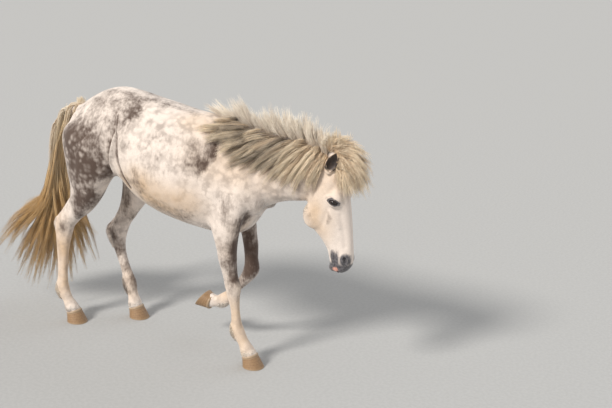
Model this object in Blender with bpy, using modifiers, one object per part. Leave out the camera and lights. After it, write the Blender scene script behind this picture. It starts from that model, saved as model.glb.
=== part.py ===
"""A life-size Icelandic horse walking slowly with its head low. Metres, +X forward, +Y to its left, +Z up.

The flesh is lofted form by form, fused and smoothed, then parted with thin cuts into the pieces a person
would name. Ears, eyes and hooves are pieces of their own. Mane, forelock and tail are flat tapered locks
that are fused to the piece they grow from.
"""

import math
import random

import bmesh
import bpy
import numpy as np
from mathutils import Matrix, Vector
from mathutils.bvhtree import BVHTree

# Driving dimensions of the standing horse.
CROUP_HEIGHT = 1.358
EYE_RADIUS = 0.0235
EYE_CENTRE = (0.918, 0.0705, 0.974)
EAR_LENGTH = 0.124
EAR_ROOT = (0.872, 0.055, 1.112)
EAR_TIP = (0.922, 0.080, 1.222)
EAR_CUT = 0.036
MOUTH_FRONT = (0.957, 0.585)
MOUTH_CORNER = (0.926, 0.712)
HOOF_HALF_WIDTH = 0.056
HOOF_HALF_LENGTH = 0.060
CORONET_HEIGHT = 0.060
CORONET_SLOPE = math.radians(22)
DOCK_LENGTH = 0.30

# Hair: how many locks, how thick, and how far they keep from the flesh that they don't grow from.
# Each forelock row: rise of its tips in degrees, how many, how far they spread to each side, reach.
MANE_NEAR, MANE_FAR, MANE_FAN = 15, 10, 14
TAIL = 16
FORELOCK_ROWS = (
    (116, 2, 30, 1.24),
    (76, 2, 34, 1.10),
    (36, 3, 54, 1.03),
    (2, 4, 66, 1.02),
    (-32, 4, 76, 1.02),
)
FORELOCK_POINTS = 5
FORELOCK_CENTRE = (0.930, 0.0, 1.115)
FORELOCK_RADII = (0.145, 0.092, 0.168)
LOCK_THICKNESS = 0.008
LOCK_CLEARANCE = 0.009

# Gaps, mesh sizes and tolerances.
CUT_GAP = 0.00035
CLEARANCE = 0.0002
VOXEL = 0.0065
SMOOTHING = 8
BROAD_SMOOTHING = 40
HEAD_TRIANGLES = 1600
BODY_TRIANGLES = 3300
RING_POINTS = 28
MERGE = 0.00001
HEAD_START = 0.745
MANE_START, MANE_END = 0.758, 0.345
RIGHT, LEFT = -1, 1

# Trunk stations: x, top, bottom, half width, how much narrower the top is.
TRUNK = (
    (-0.700, 1.150, 0.980, 0.040, 0.0),
    (-0.665, 1.212, 0.925, 0.125, 0.10),
    (-0.600, 1.268, 0.900, 0.180, 0.16),
    (-0.500, 1.328, 0.892, 0.215, 0.20),
    (-0.400, CROUP_HEIGHT, 0.885, 0.232, 0.20),
    (-0.300, 1.352, 0.850, 0.242, 0.16),
    (-0.200, 1.336, 0.775, 0.258, 0.14),
    (-0.080, 1.318, 0.728, 0.276, 0.14),
    (0.060, 1.298, 0.700, 0.280, 0.18),
    (0.180, 1.292, 0.684, 0.262, 0.30),
    (0.300, 1.268, 0.680, 0.220, 0.44),
    (0.400, 1.205, 0.705, 0.190, 0.34),
    (0.455, 1.130, 0.775, 0.155, 0.20),
    (0.500, 1.050, 0.850, 0.110, 0.10),
    (0.530, 0.985, 0.910, 0.045, 0.0),
)

# Neck stations, as the trunk's.
NECK = (
    (0.180, 1.285, 0.800, 0.150, 0.40),
    (0.320, 1.258, 0.790, 0.160, 0.52),
    (0.430, 1.226, 0.822, 0.142, 0.50),
    (0.530, 1.213, 0.866, 0.120, 0.44),
    (0.630, 1.210, 0.908, 0.104, 0.38),
    (0.730, 1.204, 0.928, 0.094, 0.32),
    (0.800, 1.190, 0.955, 0.086, 0.26),
    (0.860, 1.165, 0.995, 0.074, 0.20),
)

# Head stations from poll to lips: front x, z, rear x, z, half width, how much narrower the front is.
HEAD = (
    (0.852, 1.192, 0.808, 1.150, 0.030, 0.0),
    (0.892, 1.166, 0.780, 1.070, 0.058, 0.25),
    (0.928, 1.114, 0.762, 0.995, 0.077, 0.12),
    (0.953, 1.050, 0.753, 0.940, 0.085, 0.08),
    (0.969, 0.985, 0.752, 0.895, 0.085, 0.10),
    (0.982, 0.920, 0.760, 0.848, 0.079, 0.12),
    (0.992, 0.860, 0.790, 0.800, 0.068, 0.16),
    (1.000, 0.800, 0.833, 0.757, 0.058, 0.18),
    (1.006, 0.742, 0.868, 0.710, 0.051, 0.12),
    (1.010, 0.692, 0.884, 0.664, 0.051, 0.06),
    (1.008, 0.648, 0.889, 0.628, 0.049, 0.04),
    (0.990, 0.616, 0.896, 0.606, 0.041, 0.04),
    (0.968, 0.598, 0.914, 0.597, 0.020, 0.0),
)

# Limb stations: x, outward y, z, half length fore and aft, half width.
FORE_STANDING = (
    (0.372, 0.118, 1.000, 0.120, 0.060),
    (0.356, 0.140, 0.900, 0.122, 0.062),
    (0.358, 0.148, 0.800, 0.096, 0.062),
    (0.362, 0.148, 0.720, 0.074, 0.058),
    (0.366, 0.142, 0.650, 0.059, 0.051),
    (0.371, 0.134, 0.570, 0.050, 0.042),
    (0.385, 0.126, 0.490, 0.041, 0.035),
    (0.398, 0.120, 0.432, 0.045, 0.037),
    (0.400, 0.116, 0.385, 0.037, 0.032),
    (0.407, 0.110, 0.320, 0.028, 0.023),
    (0.412, 0.102, 0.250, 0.028, 0.024),
    (0.418, 0.096, 0.192, 0.038, 0.032),
    (0.452, 0.090, 0.128, 0.031, 0.029),
    (0.480, 0.086, 0.078, 0.040, 0.039),
    (0.502, 0.084, 0.038, 0.042, 0.040),
)
FORE_LIFTED = (
    (0.362, 0.118, 1.000, 0.116, 0.060),
    (0.332, 0.140, 0.900, 0.108, 0.062),
    (0.314, 0.146, 0.820, 0.080, 0.058),
    (0.313, 0.146, 0.740, 0.057, 0.053),
    (0.328, 0.142, 0.660, 0.046, 0.046),
    (0.348, 0.136, 0.580, 0.042, 0.039),
    (0.358, 0.129, 0.505, 0.039, 0.035),
    (0.364, 0.124, 0.450, 0.046, 0.037),
    (0.340, 0.121, 0.402, 0.037, 0.032),
    (0.298, 0.120, 0.347, 0.028, 0.023),
    (0.250, 0.120, 0.289, 0.028, 0.024),
    (0.205, 0.120, 0.243, 0.037, 0.032),
    (0.162, 0.120, 0.222, 0.031, 0.029),
    (0.122, 0.120, 0.214, 0.040, 0.039),
    (0.082, 0.120, 0.218, 0.042, 0.040),
)
HIND_BACK = (
    (-0.470, 0.085, 1.200, 0.120, 0.080),
    (-0.480, 0.128, 1.100, 0.192, 0.112),
    (-0.492, 0.136, 0.990, 0.180, 0.108),
    (-0.512, 0.137, 0.890, 0.140, 0.094),
    (-0.530, 0.136, 0.800, 0.106, 0.078),
    (-0.568, 0.133, 0.715, 0.078, 0.063),
    (-0.625, 0.131, 0.645, 0.057, 0.049),
    (-0.672, 0.130, 0.585, 0.052, 0.039),
    (-0.694, 0.130, 0.525, 0.053, 0.038),
    (-0.703, 0.130, 0.450, 0.043, 0.031),
    (-0.708, 0.130, 0.350, 0.034, 0.025),
    (-0.711, 0.129, 0.250, 0.032, 0.025),
    (-0.713, 0.128, 0.180, 0.041, 0.034),
    (-0.680, 0.127, 0.122, 0.031, 0.029),
    (-0.652, 0.126, 0.076, 0.040, 0.039),
    (-0.630, 0.126, 0.038, 0.042, 0.040),
)
HIND_FORWARD = (
    (-0.450, 0.085, 1.200, 0.120, 0.080),
    (-0.440, 0.128, 1.100, 0.190, 0.112),
    (-0.412, 0.138, 0.990, 0.172, 0.106),
    (-0.386, 0.140, 0.890, 0.140, 0.092),
    (-0.384, 0.139, 0.800, 0.112, 0.077),
    (-0.412, 0.136, 0.715, 0.082, 0.062),
    (-0.450, 0.133, 0.630, 0.060, 0.048),
    (-0.488, 0.131, 0.560, 0.052, 0.039),
    (-0.514, 0.130, 0.490, 0.053, 0.038),
    (-0.514, 0.128, 0.420, 0.043, 0.031),
    (-0.494, 0.126, 0.350, 0.034, 0.025),
    (-0.462, 0.124, 0.270, 0.032, 0.025),
    (-0.432, 0.122, 0.195, 0.040, 0.034),
    (-0.412, 0.121, 0.135, 0.031, 0.029),
    (-0.396, 0.120, 0.080, 0.040, 0.039),
    (-0.384, 0.120, 0.040, 0.042, 0.040),
)

# Hooves: sole centre x, y, z, pitch in degrees, how far the coronet lies behind the sole's centre.
HOOVES = {
    "fore_right_hoof": (0.512, -0.084, 0.0, 0.0, 0.024),
    "fore_left_hoof": (0.064, 0.120, 0.222, 124.8, 0.024),
    "hind_right_hoof": (-0.616, -0.126, 0.0, 0.0, 0.024),
    "hind_left_hoof": (-0.366, 0.120, 0.0, 0.0, 0.024),
}

# Parting cuts: a lower and an upper point in the side view, and the sides between which each runs.
CUTS = (
    ((0.735, 0.850), (0.822, 1.250), -0.2, 0.2),
    ((0.640, 0.885), (0.165, 1.345), -0.3, 0.3),
    ((-0.716, 0.980), (-0.716, 1.300), -0.1, 0.1),
    ((0.260, 0.652), (0.460, 0.662), -0.3, 0.0),
    ((0.240, 0.652), (0.460, 0.662), 0.0, 0.3),
    ((0.335, 0.384), (0.465, 0.384), -0.3, 0.0),
    ((0.290, 0.450), (0.400, 0.360), 0.0, 0.3),
    ((-0.720, 0.790), (-0.360, 0.745), -0.3, -0.01),
    ((-0.560, 0.765), (-0.240, 0.765), 0.01, 0.3),
    ((-0.800, 0.480), (-0.620, 0.480), -0.3, 0.0),
    ((-0.600, 0.420), (-0.430, 0.450), 0.0, 0.3),
)

# Middle of each piece, by which it is named once the body is parted.
SEEDS = {
    "head": (0.87, 0.0, 0.90),
    "neck": (0.50, 0.0, 1.08),
    "torso": (-0.10, 0.0, 1.02),
    "tail": (-0.77, 0.0, 1.07),
    "ear_right": (0.90, -0.06, 1.18),
    "ear_left": (0.90, 0.06, 1.18),
    "fore_right_forearm": (0.38, -0.13, 0.52),
    "fore_left_forearm": (0.36, 0.13, 0.54),
    "hind_right_gaskin": (-0.62, -0.13, 0.63),
    "hind_left_gaskin": (-0.44, 0.13, 0.60),
    "fore_right_cannon": (0.42, -0.10, 0.22),
    "fore_left_cannon": (0.24, 0.12, 0.29),
    "hind_right_cannon": (-0.69, -0.13, 0.27),
    "hind_left_cannon": (-0.45, 0.12, 0.25),
}

# The cord behind each gaskin, over the point of the hock and down the cannon: side, then x, z, radius.
HAMSTRINGS = (
    (RIGHT, ((-0.630, 0.720, 0.024), (-0.700, 0.635, 0.015), (-0.741, 0.576, 0.019),
             (-0.738, 0.530, 0.019), (-0.722, 0.460, 0.014))),
    (LEFT, ((-0.470, 0.650, 0.024), (-0.535, 0.560, 0.015), (-0.583, 0.492, 0.019),
            (-0.580, 0.450, 0.019), (-0.548, 0.380, 0.014))),
)

# Ellipsoid masses on both sides: centre x, outward y, z, radii, turn about Y in degrees.
MASSES = (
    (0.400, 0.105, 1.030, 0.085, 0.062, 0.210, -30),
    (0.470, 0.075, 0.905, 0.055, 0.058, 0.085, -20),
    (0.330, 0.140, 0.860, 0.120, 0.060, 0.140, 20),
    (-0.590, 0.090, 1.060, 0.090, 0.080, 0.170, 0),
    (0.812, 0.050, 0.890, 0.066, 0.032, 0.084, 22),
    (0.906, 0.054, 0.986, 0.052, 0.034, 0.050, -20),
    (0.918, 0.043, 0.880, 0.015, 0.021, 0.105, -6),
    (0.974, 0.030, 0.672, 0.026, 0.024, 0.038, -8),
    (0.912, 0.018, 0.622, 0.024, 0.024, 0.024, 0),
    (0.884, 0.004, 1.168, 0.048, 0.032, 0.046, 30),
)


def collection(name, hidden=False):
    """Makes a collection in the scene; a hidden one holds cutters and shapes still to be joined."""
    made = bpy.data.collections.new(name)
    made.hide_render = hidden
    bpy.context.scene.collection.children.link(made)
    return made


def mesh_object(name, points, faces, where):
    """Links a new mesh object made from points and faces."""
    mesh = bpy.data.meshes.new(name)
    mesh.from_pydata([tuple(p) for p in points], [], faces)
    mesh.update()
    made = bpy.data.objects.new(name, mesh)
    where.objects.link(made)
    return made


def remove(made):
    """Deletes an object and its mesh."""
    mesh = made.data
    bpy.data.objects.remove(made)
    bpy.data.meshes.remove(mesh)


def apply_modifiers(made):
    """Replaces the object's mesh by what its modifiers make of it."""
    graph = bpy.context.evaluated_depsgraph_get()
    old = made.data
    new = bpy.data.meshes.new_from_object(made.evaluated_get(graph))
    made.modifiers.clear()
    made.data = new
    bpy.data.meshes.remove(old)
    return made


def catmull(table, steps):
    """Rows spread along a smooth curve through the table's rows."""
    rows = np.array(table, float)
    padded = np.vstack([2 * rows[0] - rows[1], rows, 2 * rows[-1] - rows[-2]])
    spread = []
    for i in range(1, len(padded) - 2):
        a, b, c, d = padded[i - 1 : i + 3]
        for k in range(steps):
            t = k / steps
            spread.append(
                0.5 * (2 * b + (c - a) * t + (2 * a - 5 * b + 4 * c - d) * t**2)
                + 0.5 * (3 * b - a - 3 * c + d) * t**3
            )
    spread.append(rows[-1])
    return np.array(spread)


def loft(name, rings, where):
    """A closed body through rings of equal point count."""
    count = len(rings[0])
    points = [p for ring in rings for p in ring]
    faces = []
    for r in range(len(rings) - 1):
        for k in range(count):
            n = (k + 1) % count
            faces.append((r * count + k, r * count + n, (r + 1) * count + n, (r + 1) * count + k))
    faces.append(tuple(reversed(range(count))))
    faces.append(tuple((len(rings) - 1) * count + k for k in range(count)))
    made = mesh_object(name, points, faces, where)
    face_out(made)
    return made


def face_out(made):
    """Turns all faces outwards."""
    bm = bmesh.new()
    bm.from_mesh(made.data)
    bmesh.ops.recalc_face_normals(bm, faces=bm.faces)
    bm.to_mesh(made.data)
    bm.free()


def egg_ring(centre, up, side, narrow, squareness=2.2, count=RING_POINTS):
    """A superellipse of half axes up and side, narrower towards up."""
    ring = []
    for k in range(count):
        angle = 2 * math.pi * k / count
        c, s = math.cos(angle), math.sin(angle)
        rise = math.copysign(abs(c) ** (2 / squareness), c)
        reach = math.copysign(abs(s) ** (2 / squareness), s)
        reach *= 1 - narrow * (rise + 1) / 2 * max(0.0, rise + 0.3)
        ring.append(centre + up * rise + side * reach)
    return ring


def barrel(name, table, where, squareness=2.2):
    """A loft of upright sections along X, for the trunk and the neck."""
    rings = []
    for x, top, bottom, half_width, narrow in catmull(table, 4):
        centre = Vector((x, 0, (top + bottom) / 2))
        up = Vector((0, 0, (top - bottom) / 2))
        rings.append(egg_ring(centre, up, Vector((0, max(half_width, 0.004), 0)), narrow, squareness))
    return loft(name, rings, where)


def head_loft(where):
    """The skull and jaws, from poll to lips, in sections from the face to the jaw."""
    rings = []
    for front_x, front_z, rear_x, rear_z, half_width, narrow in catmull(HEAD, 4):
        front, rear = Vector((front_x, 0, front_z)), Vector((rear_x, 0, rear_z))
        rings.append(
            egg_ring((front + rear) / 2, (front - rear) / 2, Vector((0, half_width, 0)), narrow, 2.3)
        )
    return loft("head_form", rings, where)


def limb(name, table, side, where):
    """A leg: a loft whose sections stand square to the way it runs."""
    rows = catmull(table, 4)
    rows[:, 1] *= side
    rings = []
    for i, (x, y, z, half_length, half_width) in enumerate(rows):
        before, after = rows[max(i - 1, 0)], rows[min(i + 1, len(rows) - 1)]
        way = Vector(after[:3] - before[:3]).normalized()
        across = Vector((0, 1, 0))
        ahead = across.cross(way).normalized()
        rings.append(egg_ring(Vector((x, y, z)), ahead * half_length, across * half_width, 0.0, 2.1, 20))
    return loft(name, rings, where)


def ellipsoid(name, centre, radii, where, turn=0.0, segments=24, rings=14):
    """A sphere primitive scaled to its radii and turned about Y."""
    bm = bmesh.new()
    bmesh.ops.create_uvsphere(bm, u_segments=segments, v_segments=rings, radius=1.0)
    bmesh.ops.scale(bm, vec=radii, verts=bm.verts)
    bmesh.ops.rotate(bm, matrix=Matrix.Rotation(math.radians(turn), 3, "Y"), verts=bm.verts)
    bmesh.ops.translate(bm, vec=centre, verts=bm.verts)
    mesh = bpy.data.meshes.new(name)
    bm.to_mesh(mesh)
    bm.free()
    made = bpy.data.objects.new(name, mesh)
    where.objects.link(made)
    return made


def dock_path():
    """The fleshy root of the tail, from inside the croup outwards and down."""
    return [
        Vector((-0.600, 0, 1.185)),
        Vector((-0.670, 0, 1.196)),
        Vector((-0.728, 0, 1.178)),
        Vector((-0.770, 0, 1.125)),
        Vector((-0.795, 0, 1.190 - DOCK_LENGTH * 0.55)),
        Vector((-0.810, 0, 1.190 - DOCK_LENGTH * 0.85)),
    ]


def dock(where):
    """The tail's fleshy root as a tapering limb."""
    radii = (0.040, 0.038, 0.034, 0.028, 0.022, 0.012)
    table = [(p.x, p.y, p.z, r, r) for p, r in zip(dock_path(), radii)]
    return limb("dock_form", table, RIGHT, where)


def flesh():
    """Head, neck, trunk, legs and dock fused into one smooth closed body."""
    forms = collection("flesh_forms", hidden=True)
    pieces = [
        barrel("trunk_form", TRUNK, forms, 2.15),
        barrel("neck_form", NECK, forms, 2.1),
        head_loft(forms),
        limb("fore_right_form", FORE_STANDING, RIGHT, forms),
        limb("fore_left_form", FORE_LIFTED, LEFT, forms),
        limb("hind_right_form", HIND_BACK, RIGHT, forms),
        limb("hind_left_form", HIND_FORWARD, LEFT, forms),
        dock(forms),
    ]
    for x, y, z, rx, ry, rz, turn in MASSES:
        for side in (RIGHT, LEFT):
            pieces.append(ellipsoid("mass_form", (x, side * y, z), (rx, ry, rz), forms, turn))
    for side, path in HAMSTRINGS:
        table = [(x, 0.130, z, radius, radius * 0.85) for x, z, radius in path]
        pieces.append(limb("hamstring_form", table, side, forms))
    body = fused(pieces)
    bpy.data.collections.remove(forms)
    return body


def joined(pieces, name):
    """One object holding the meshes of several, which are removed."""
    bm = bmesh.new()
    for piece in pieces:
        bm.from_mesh(piece.data)
    mesh = bpy.data.meshes.new(name)
    bm.to_mesh(mesh)
    bm.free()
    for piece in pieces:
        remove(piece)
    made = bpy.data.objects.new(name, mesh)
    bpy.context.scene.collection.objects.link(made)
    return made


def weigh(body, name, weight):
    """A vertex group with the weight that a function of the place gives."""
    group = body.vertex_groups.new(name=name)
    for vertex in body.data.vertices:
        group.add([vertex.index], min(1.0, max(0.0, weight(vertex.co))), "REPLACE")
    return group.name


def broadness(p):
    """1 on the trunk and neck, 0 on the head, the legs and the dock."""
    away_from_head = (0.74 - p.x) / 0.10
    above_legs = (p.z - 0.74) / 0.12
    before_dock = (p.x + 0.72) / 0.05
    return min(away_from_head, above_legs, before_dock)


def fused(pieces):
    """Overlapping closed forms made one by a voxel remesh, then smoothed, most on the trunk and neck."""
    body = joined(pieces, "flesh")
    remesh = body.modifiers.new("fuse", "REMESH")
    remesh.mode = "VOXEL"
    remesh.voxel_size = VOXEL
    apply_modifiers(body)
    smooth = body.modifiers.new("smooth", "SMOOTH")
    smooth.factor = 0.5
    smooth.iterations = SMOOTHING
    broad = body.modifiers.new("smooth_broad", "SMOOTH")
    broad.factor = 0.5
    broad.iterations = BROAD_SMOOTHING
    broad.vertex_group = weigh(body, "broad", broadness)
    apply_modifiers(body)
    return body


def thinned(body):
    """The body with fewer triangles, first off the head and then on it."""
    for name, on_head, triangles in (("off_head", 0.0, BODY_TRIANGLES), ("on_head", 1.0, HEAD_TRIANGLES)):
        total = sum(len(p.vertices) - 2 for p in body.data.polygons)
        part = sum(
            len(p.vertices) - 2 for p in body.data.polygons if (p.center.x > HEAD_START) == (on_head > 0.5)
        )
        decimate = body.modifiers.new(name, "DECIMATE")
        decimate.ratio = (total - part + triangles) / total
        decimate.vertex_group = weigh(
            body, name, lambda p, on_head=on_head: on_head if p.x > HEAD_START else 1.0 - on_head
        )
        apply_modifiers(body)
        body.vertex_groups.clear()
    return body


def cut(body, cutter, operation="DIFFERENCE", solver="EXACT"):
    """Applies one Boolean to the body and removes the other object."""
    boolean = body.modifiers.new("cut", "BOOLEAN")
    boolean.operation = operation
    boolean.solver = solver
    boolean.object = cutter
    apply_modifiers(body)
    remove(cutter)
    return body


def box(name, centre, size, where, turn=None):
    """A cube primitive of a full size, turned about its centre."""
    bm = bmesh.new()
    bmesh.ops.create_cube(bm, size=1.0)
    bmesh.ops.scale(bm, vec=size, verts=bm.verts)
    if turn:
        bmesh.ops.rotate(bm, matrix=turn, verts=bm.verts)
    bmesh.ops.translate(bm, vec=centre, verts=bm.verts)
    mesh = bpy.data.meshes.new(name)
    bm.to_mesh(mesh)
    bm.free()
    made = bpy.data.objects.new(name, mesh)
    where.objects.link(made)
    return made


def slab(lower, upper, low_y, high_y, where):
    """A thin cutter square to the side view, between two points of it and two sides."""
    (x0, z0), (x1, z1) = lower, upper
    length = math.hypot(x1 - x0, z1 - z0)
    turn = Matrix.Rotation(math.atan2(x1 - x0, z1 - z0), 3, "Y")
    centre = ((x0 + x1) / 2, (low_y + high_y) / 2, (z0 + z1) / 2)
    return box("slab", centre, (CUT_GAP, high_y - low_y, length), where, turn)


def frame_of(way, side_hint):
    """Unit vectors along a way, across it and out of it."""
    way = way.normalized()
    out = (side_hint - way * side_hint.dot(way)).normalized()
    return way, out.cross(way), out


def ear_rings(side, first, last, width_share, depth_share, shift):
    """Sections of an ear or of its cup, between two shares of its length."""
    root = Vector((EAR_ROOT[0], side * EAR_ROOT[1], EAR_ROOT[2]))
    tip = Vector((EAR_TIP[0], side * EAR_TIP[1], EAR_TIP[2]))
    way, across, out = frame_of(tip - root, Vector((0.55, side * 0.80, 0.05)))
    rings = []
    steps = 7
    for i in range(steps):
        t = first + (last - first) * i / (steps - 1)
        half_width, half_depth = ear_size(t)
        centre = root + way * (EAR_LENGTH * t) + out * (half_depth * shift - 0.010 * math.sin(math.pi * t))
        deep, wide = out * (half_depth * depth_share), across * (half_width * width_share)
        rings.append(egg_ring(centre, deep, wide, 0.0, 2.0, 14))
    return rings


def ear_size(t):
    """Half width and half depth of an ear at a share of its length."""
    half_width = 0.0300 * math.sin(math.pi * min(1.0, 0.20 + 0.80 * t)) ** 0.95 + 0.0012
    half_depth = 0.019 * (1 - t) ** 0.55 + 0.0015
    return half_width, half_depth


def add_ears(body, where):
    """Both ears, cupped and open to the front and side, grown from the head."""
    for side in (RIGHT, LEFT):
        ear = loft("ear_form", ear_rings(side, 0.0, 0.995, 1.0, 1.0, 0.0), where)
        cut(ear, loft("cup_form", ear_rings(side, 0.24, 0.95, 0.80, 0.90, 0.62), where))
        cut(body, ear, "UNION")


def eye_frame(side):
    """Centre of an eye, the way it looks, its long axis towards the nose and its upper side."""
    x, y, z = EYE_CENTRE
    centre = Vector((x, side * y, z))
    look = Vector((0.36, side * 0.93, 0.06)).normalized()
    along = Vector((0.93, 0, -0.36))
    along = (along - look * along.dot(look)).normalized()
    over = look.cross(along) * (1 if side == RIGHT else -1)
    if over.z < 0:
        over = -over
    return centre, look, along, over


def almond(side, half_length, half_height, near, far, where):
    """A cutter for the opening between the lids, widening outwards."""
    centre, look, along, over = eye_frame(side)
    rings = []
    for depth, spread in ((near, 0.9), (far, 1.25)):
        ring = []
        for k in range(18):
            angle = 2 * math.pi * k / 18
            c, s = math.cos(angle), math.sin(angle)
            rise = math.copysign(abs(s) ** 1.25, s) * (1.0 if s > 0 else 0.80)
            reach = along * (c * half_length) + over * (rise * half_height)
            ring.append(centre + look * depth + reach * spread)
        rings.append(ring)
    return loft("opening", rings, where)


def add_lids(body, where):
    """Lids round each eye, a socket behind them and the opening between them."""
    for side in (RIGHT, LEFT):
        centre, look, along, over = eye_frame(side)
        lid = ellipsoid("lid_form", (0, 0, 0), (0.0300, 0.0266, 0.0272), where, 0, 14, 10)
        place(lid, centre + over * 0.0005, along, look, over)
        cut(body, lid, "UNION")
        socket = ellipsoid("socket", (0, 0, 0), (EYE_RADIUS + CLEARANCE,) * 3, where, 0, 14, 10)
        place(socket, centre, along, look, over)
        cut(body, socket)
        cut(body, almond(side, 0.0235, 0.0145, 0.004, 0.040, where))


def place(made, centre, x_axis, y_axis, z_axis):
    """Moves a mesh so that its axes follow three unit vectors from a centre."""
    matrix = Matrix((x_axis, y_axis, z_axis)).transposed()
    if matrix.determinant() < 0:
        matrix = Matrix((-x_axis, y_axis, z_axis)).transposed()
    made.data.transform(Matrix.Translation(centre) @ matrix.to_4x4())
    made.data.update()


def add_muzzle(body, where):
    """The nostrils and the line of the mouth."""
    for side in (RIGHT, LEFT):
        nostril = ellipsoid("nostril", (0, 0, 0), (0.0100, 0.022, 0.0185), where, 0, 14, 10)
        inward = Vector((-0.35, -side * 0.80, 0.45)).normalized()
        over = (Vector((-0.25, 0, 1.0)) - inward * inward.dot(Vector((-0.25, 0, 1.0)))).normalized()
        place(nostril, Vector((0.986, side * 0.0475, 0.676)), over.cross(inward), inward, over)
        cut(body, nostril)
    rings = []
    for i in range(7):
        t = i / 6
        x = MOUTH_FRONT[0] + (MOUTH_CORNER[0] - MOUTH_FRONT[0]) * t - 0.006 * math.sin(math.pi * t)
        z = MOUTH_FRONT[1] + (MOUTH_CORNER[1] - MOUTH_FRONT[1]) * t
        half = 0.0011 * (1 - 0.6 * t)
        corners = ((-half, -0.08), (half, -0.08), (half, 0.08), (-half, 0.08))
        rings.append([Vector((x + dx, y, z)) for dx, y in corners])
    cut(body, loft("mouth", rings, where))


def hoof_frame(spec):
    """Sole centre, forward and up of a hoof, and the centre and normal of its coronet."""
    x, y, z, pitch, lean = spec
    turn = Matrix.Rotation(math.radians(pitch), 3, "Y")
    forward, up = turn @ Vector((1, 0, 0)), turn @ Vector((0, 0, 1))
    sole = Vector((x, y, z))
    centre = sole - forward * lean + up * CORONET_HEIGHT
    normal = (up * math.cos(CORONET_SLOPE) - forward * math.sin(CORONET_SLOPE)).normalized()
    return sole, forward, up, centre, normal


def coronet_cutter(spec, where):
    """A block that takes off what is left of a limb below its coronet."""
    sole, forward, up, centre, normal = hoof_frame(spec)
    side = Vector((0, 1, 0))
    depth = 0.10
    block = box("below_coronet", (0, 0, 0), (0.16, 0.15, depth), where)
    along = side.cross(normal).normalized()
    place(block, centre - normal * (depth / 2 - CUT_GAP / 2), along, side, normal)
    return block


def hoof(name, spec, where):
    """A hoof from its flat sole to its coronet, wider at the ground, with heels lower than the toe."""
    sole, forward, up, centre, normal = hoof_frame(spec)
    side = Vector((0, 1, 0))
    along = side.cross(normal).normalized()
    if along.dot(forward) < 0:
        along = -along
    rings = []
    for t in (0.0, 0.04, 0.5, 1.0):
        ground = [
            sole + forward * (HOOF_HALF_LENGTH * fore) + side * (HOOF_HALF_WIDTH * out)
            for fore, out in hoof_outline()
        ]
        top = [
            centre - normal * (CUT_GAP / 2) + along * (0.0425 * fore) + side * (0.0405 * out)
            for fore, out in hoof_outline()
        ]
        inset = 0.985 if t == 0.0 else 1.0
        rings.append([(sole + (g - sole) * inset).lerp(p, t) for g, p in zip(ground, top)])
    return loft(name, rings, where)


def hoof_outline(count=20):
    """The round toe and narrower, squarer heels of a hoof, with half axes of 1."""
    outline = []
    for k in range(count):
        angle = 2 * math.pi * k / count
        c, s = math.cos(angle), math.sin(angle)
        power, reach = (0.9, 1.0) if c > 0 else (0.72, 0.86)
        outline.append((math.copysign(abs(c) ** power, c) * reach, s * (1 - 0.10 * max(0, -c))))
    return outline


def ribbon(name, path, widths, facing, thickness, where):
    """A flat tapered lock along a path, with its flat side turned to a direction."""
    rings = []
    for i, point in enumerate(path):
        way = (path[min(i + 1, len(path) - 1)] - path[max(i - 1, 0)]).normalized()
        out = facing[i] - way * facing[i].dot(way)
        if out.length < 1e-4:
            out = way.orthogonal()
        out.normalize()
        across = way.cross(out)
        half, rise = widths[i] / 2, thickness * (0.35 + 0.65 * widths[i] / max(widths))
        rings.append([point + across * half, point + out * rise, point - across * half])
    return loft(name, rings, where)


def lock_widths(count, width, root_share=0.55, tip_share=0.10):
    """Widths from root to tip: widest at a third, tapering to the tip."""
    widths = []
    for i in range(count):
        t = i / (count - 1)
        grow = root_share + (1 - root_share) * min(1.0, t / 0.3)
        fall = 1.0 if t < 0.3 else 1 - (1 - tip_share) * ((t - 0.3) / 0.7) ** 1.4
        widths.append(width * grow * fall)
    return widths


def bezier(a, b, c, d, count):
    """Points along a cubic curve."""
    points = []
    for i in range(count):
        t = i / (count - 1)
        points.append(a * (1 - t) ** 3 + b * (3 * t * (1 - t) ** 2) + c * (3 * t * t * (1 - t)) + d * t**3)
    return points


class Surface:
    """The body's surface, for setting locks on it and keeping them clear of it."""

    def __init__(self, body):
        mesh = body.data
        self.tree = BVHTree.FromPolygons(
            [v.co.copy() for v in mesh.vertices], [tuple(p.vertices) for p in mesh.polygons]
        )

    def side_point(self, x, z, side):
        """Where a line across the body at x and z meets its outer side."""
        hit, normal, _, _ = self.tree.ray_cast(Vector((x, side * 0.6, z)), Vector((0, -side, 0)))
        if hit is None:
            hit, normal, _, _ = self.tree.find_nearest(Vector((x, side * 0.03, z)))
        return hit, normal

    def clear(self, point, offset):
        """The point, moved out to at least an offset above the surface."""
        near, normal, _, _ = self.tree.find_nearest(point)
        height = (point - near).dot(normal)
        if height < offset:
            return near + normal * offset
        return point


def crest_height(x):
    """Height of the top of the neck at x."""
    rows = catmull(NECK, 6)
    return float(np.interp(x, rows[:, 0], rows[:, 1]))


def lying_lock(surface, root, tip, side, lift, width, where, count=5):
    """A lock that starts in the crest and lies along one side of the neck and shoulder."""
    path, facing = [], []
    for i in range(count):
        t = i / (count - 1)
        x = root[0] + (tip[0] - root[0]) * t
        z = root[1] + (tip[1] - root[1]) * t**0.85
        if i == 0:
            point = Vector((x, side * 0.012, root[1] - 0.018))
            normal = Vector((0, side * 0.6, 0.8))
        else:
            near, normal = surface.side_point(x, min(z, root[1] - 0.008), side)
            height = LOCK_CLEARANCE + lift * math.sin(math.pi * (0.2 + 0.6 * t))
            point = surface.clear(near + normal * height, LOCK_CLEARANCE)
        path.append(point)
        facing.append(normal)
    return ribbon("lock", path, lock_widths(count, width), facing, LOCK_THICKNESS, where)


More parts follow.
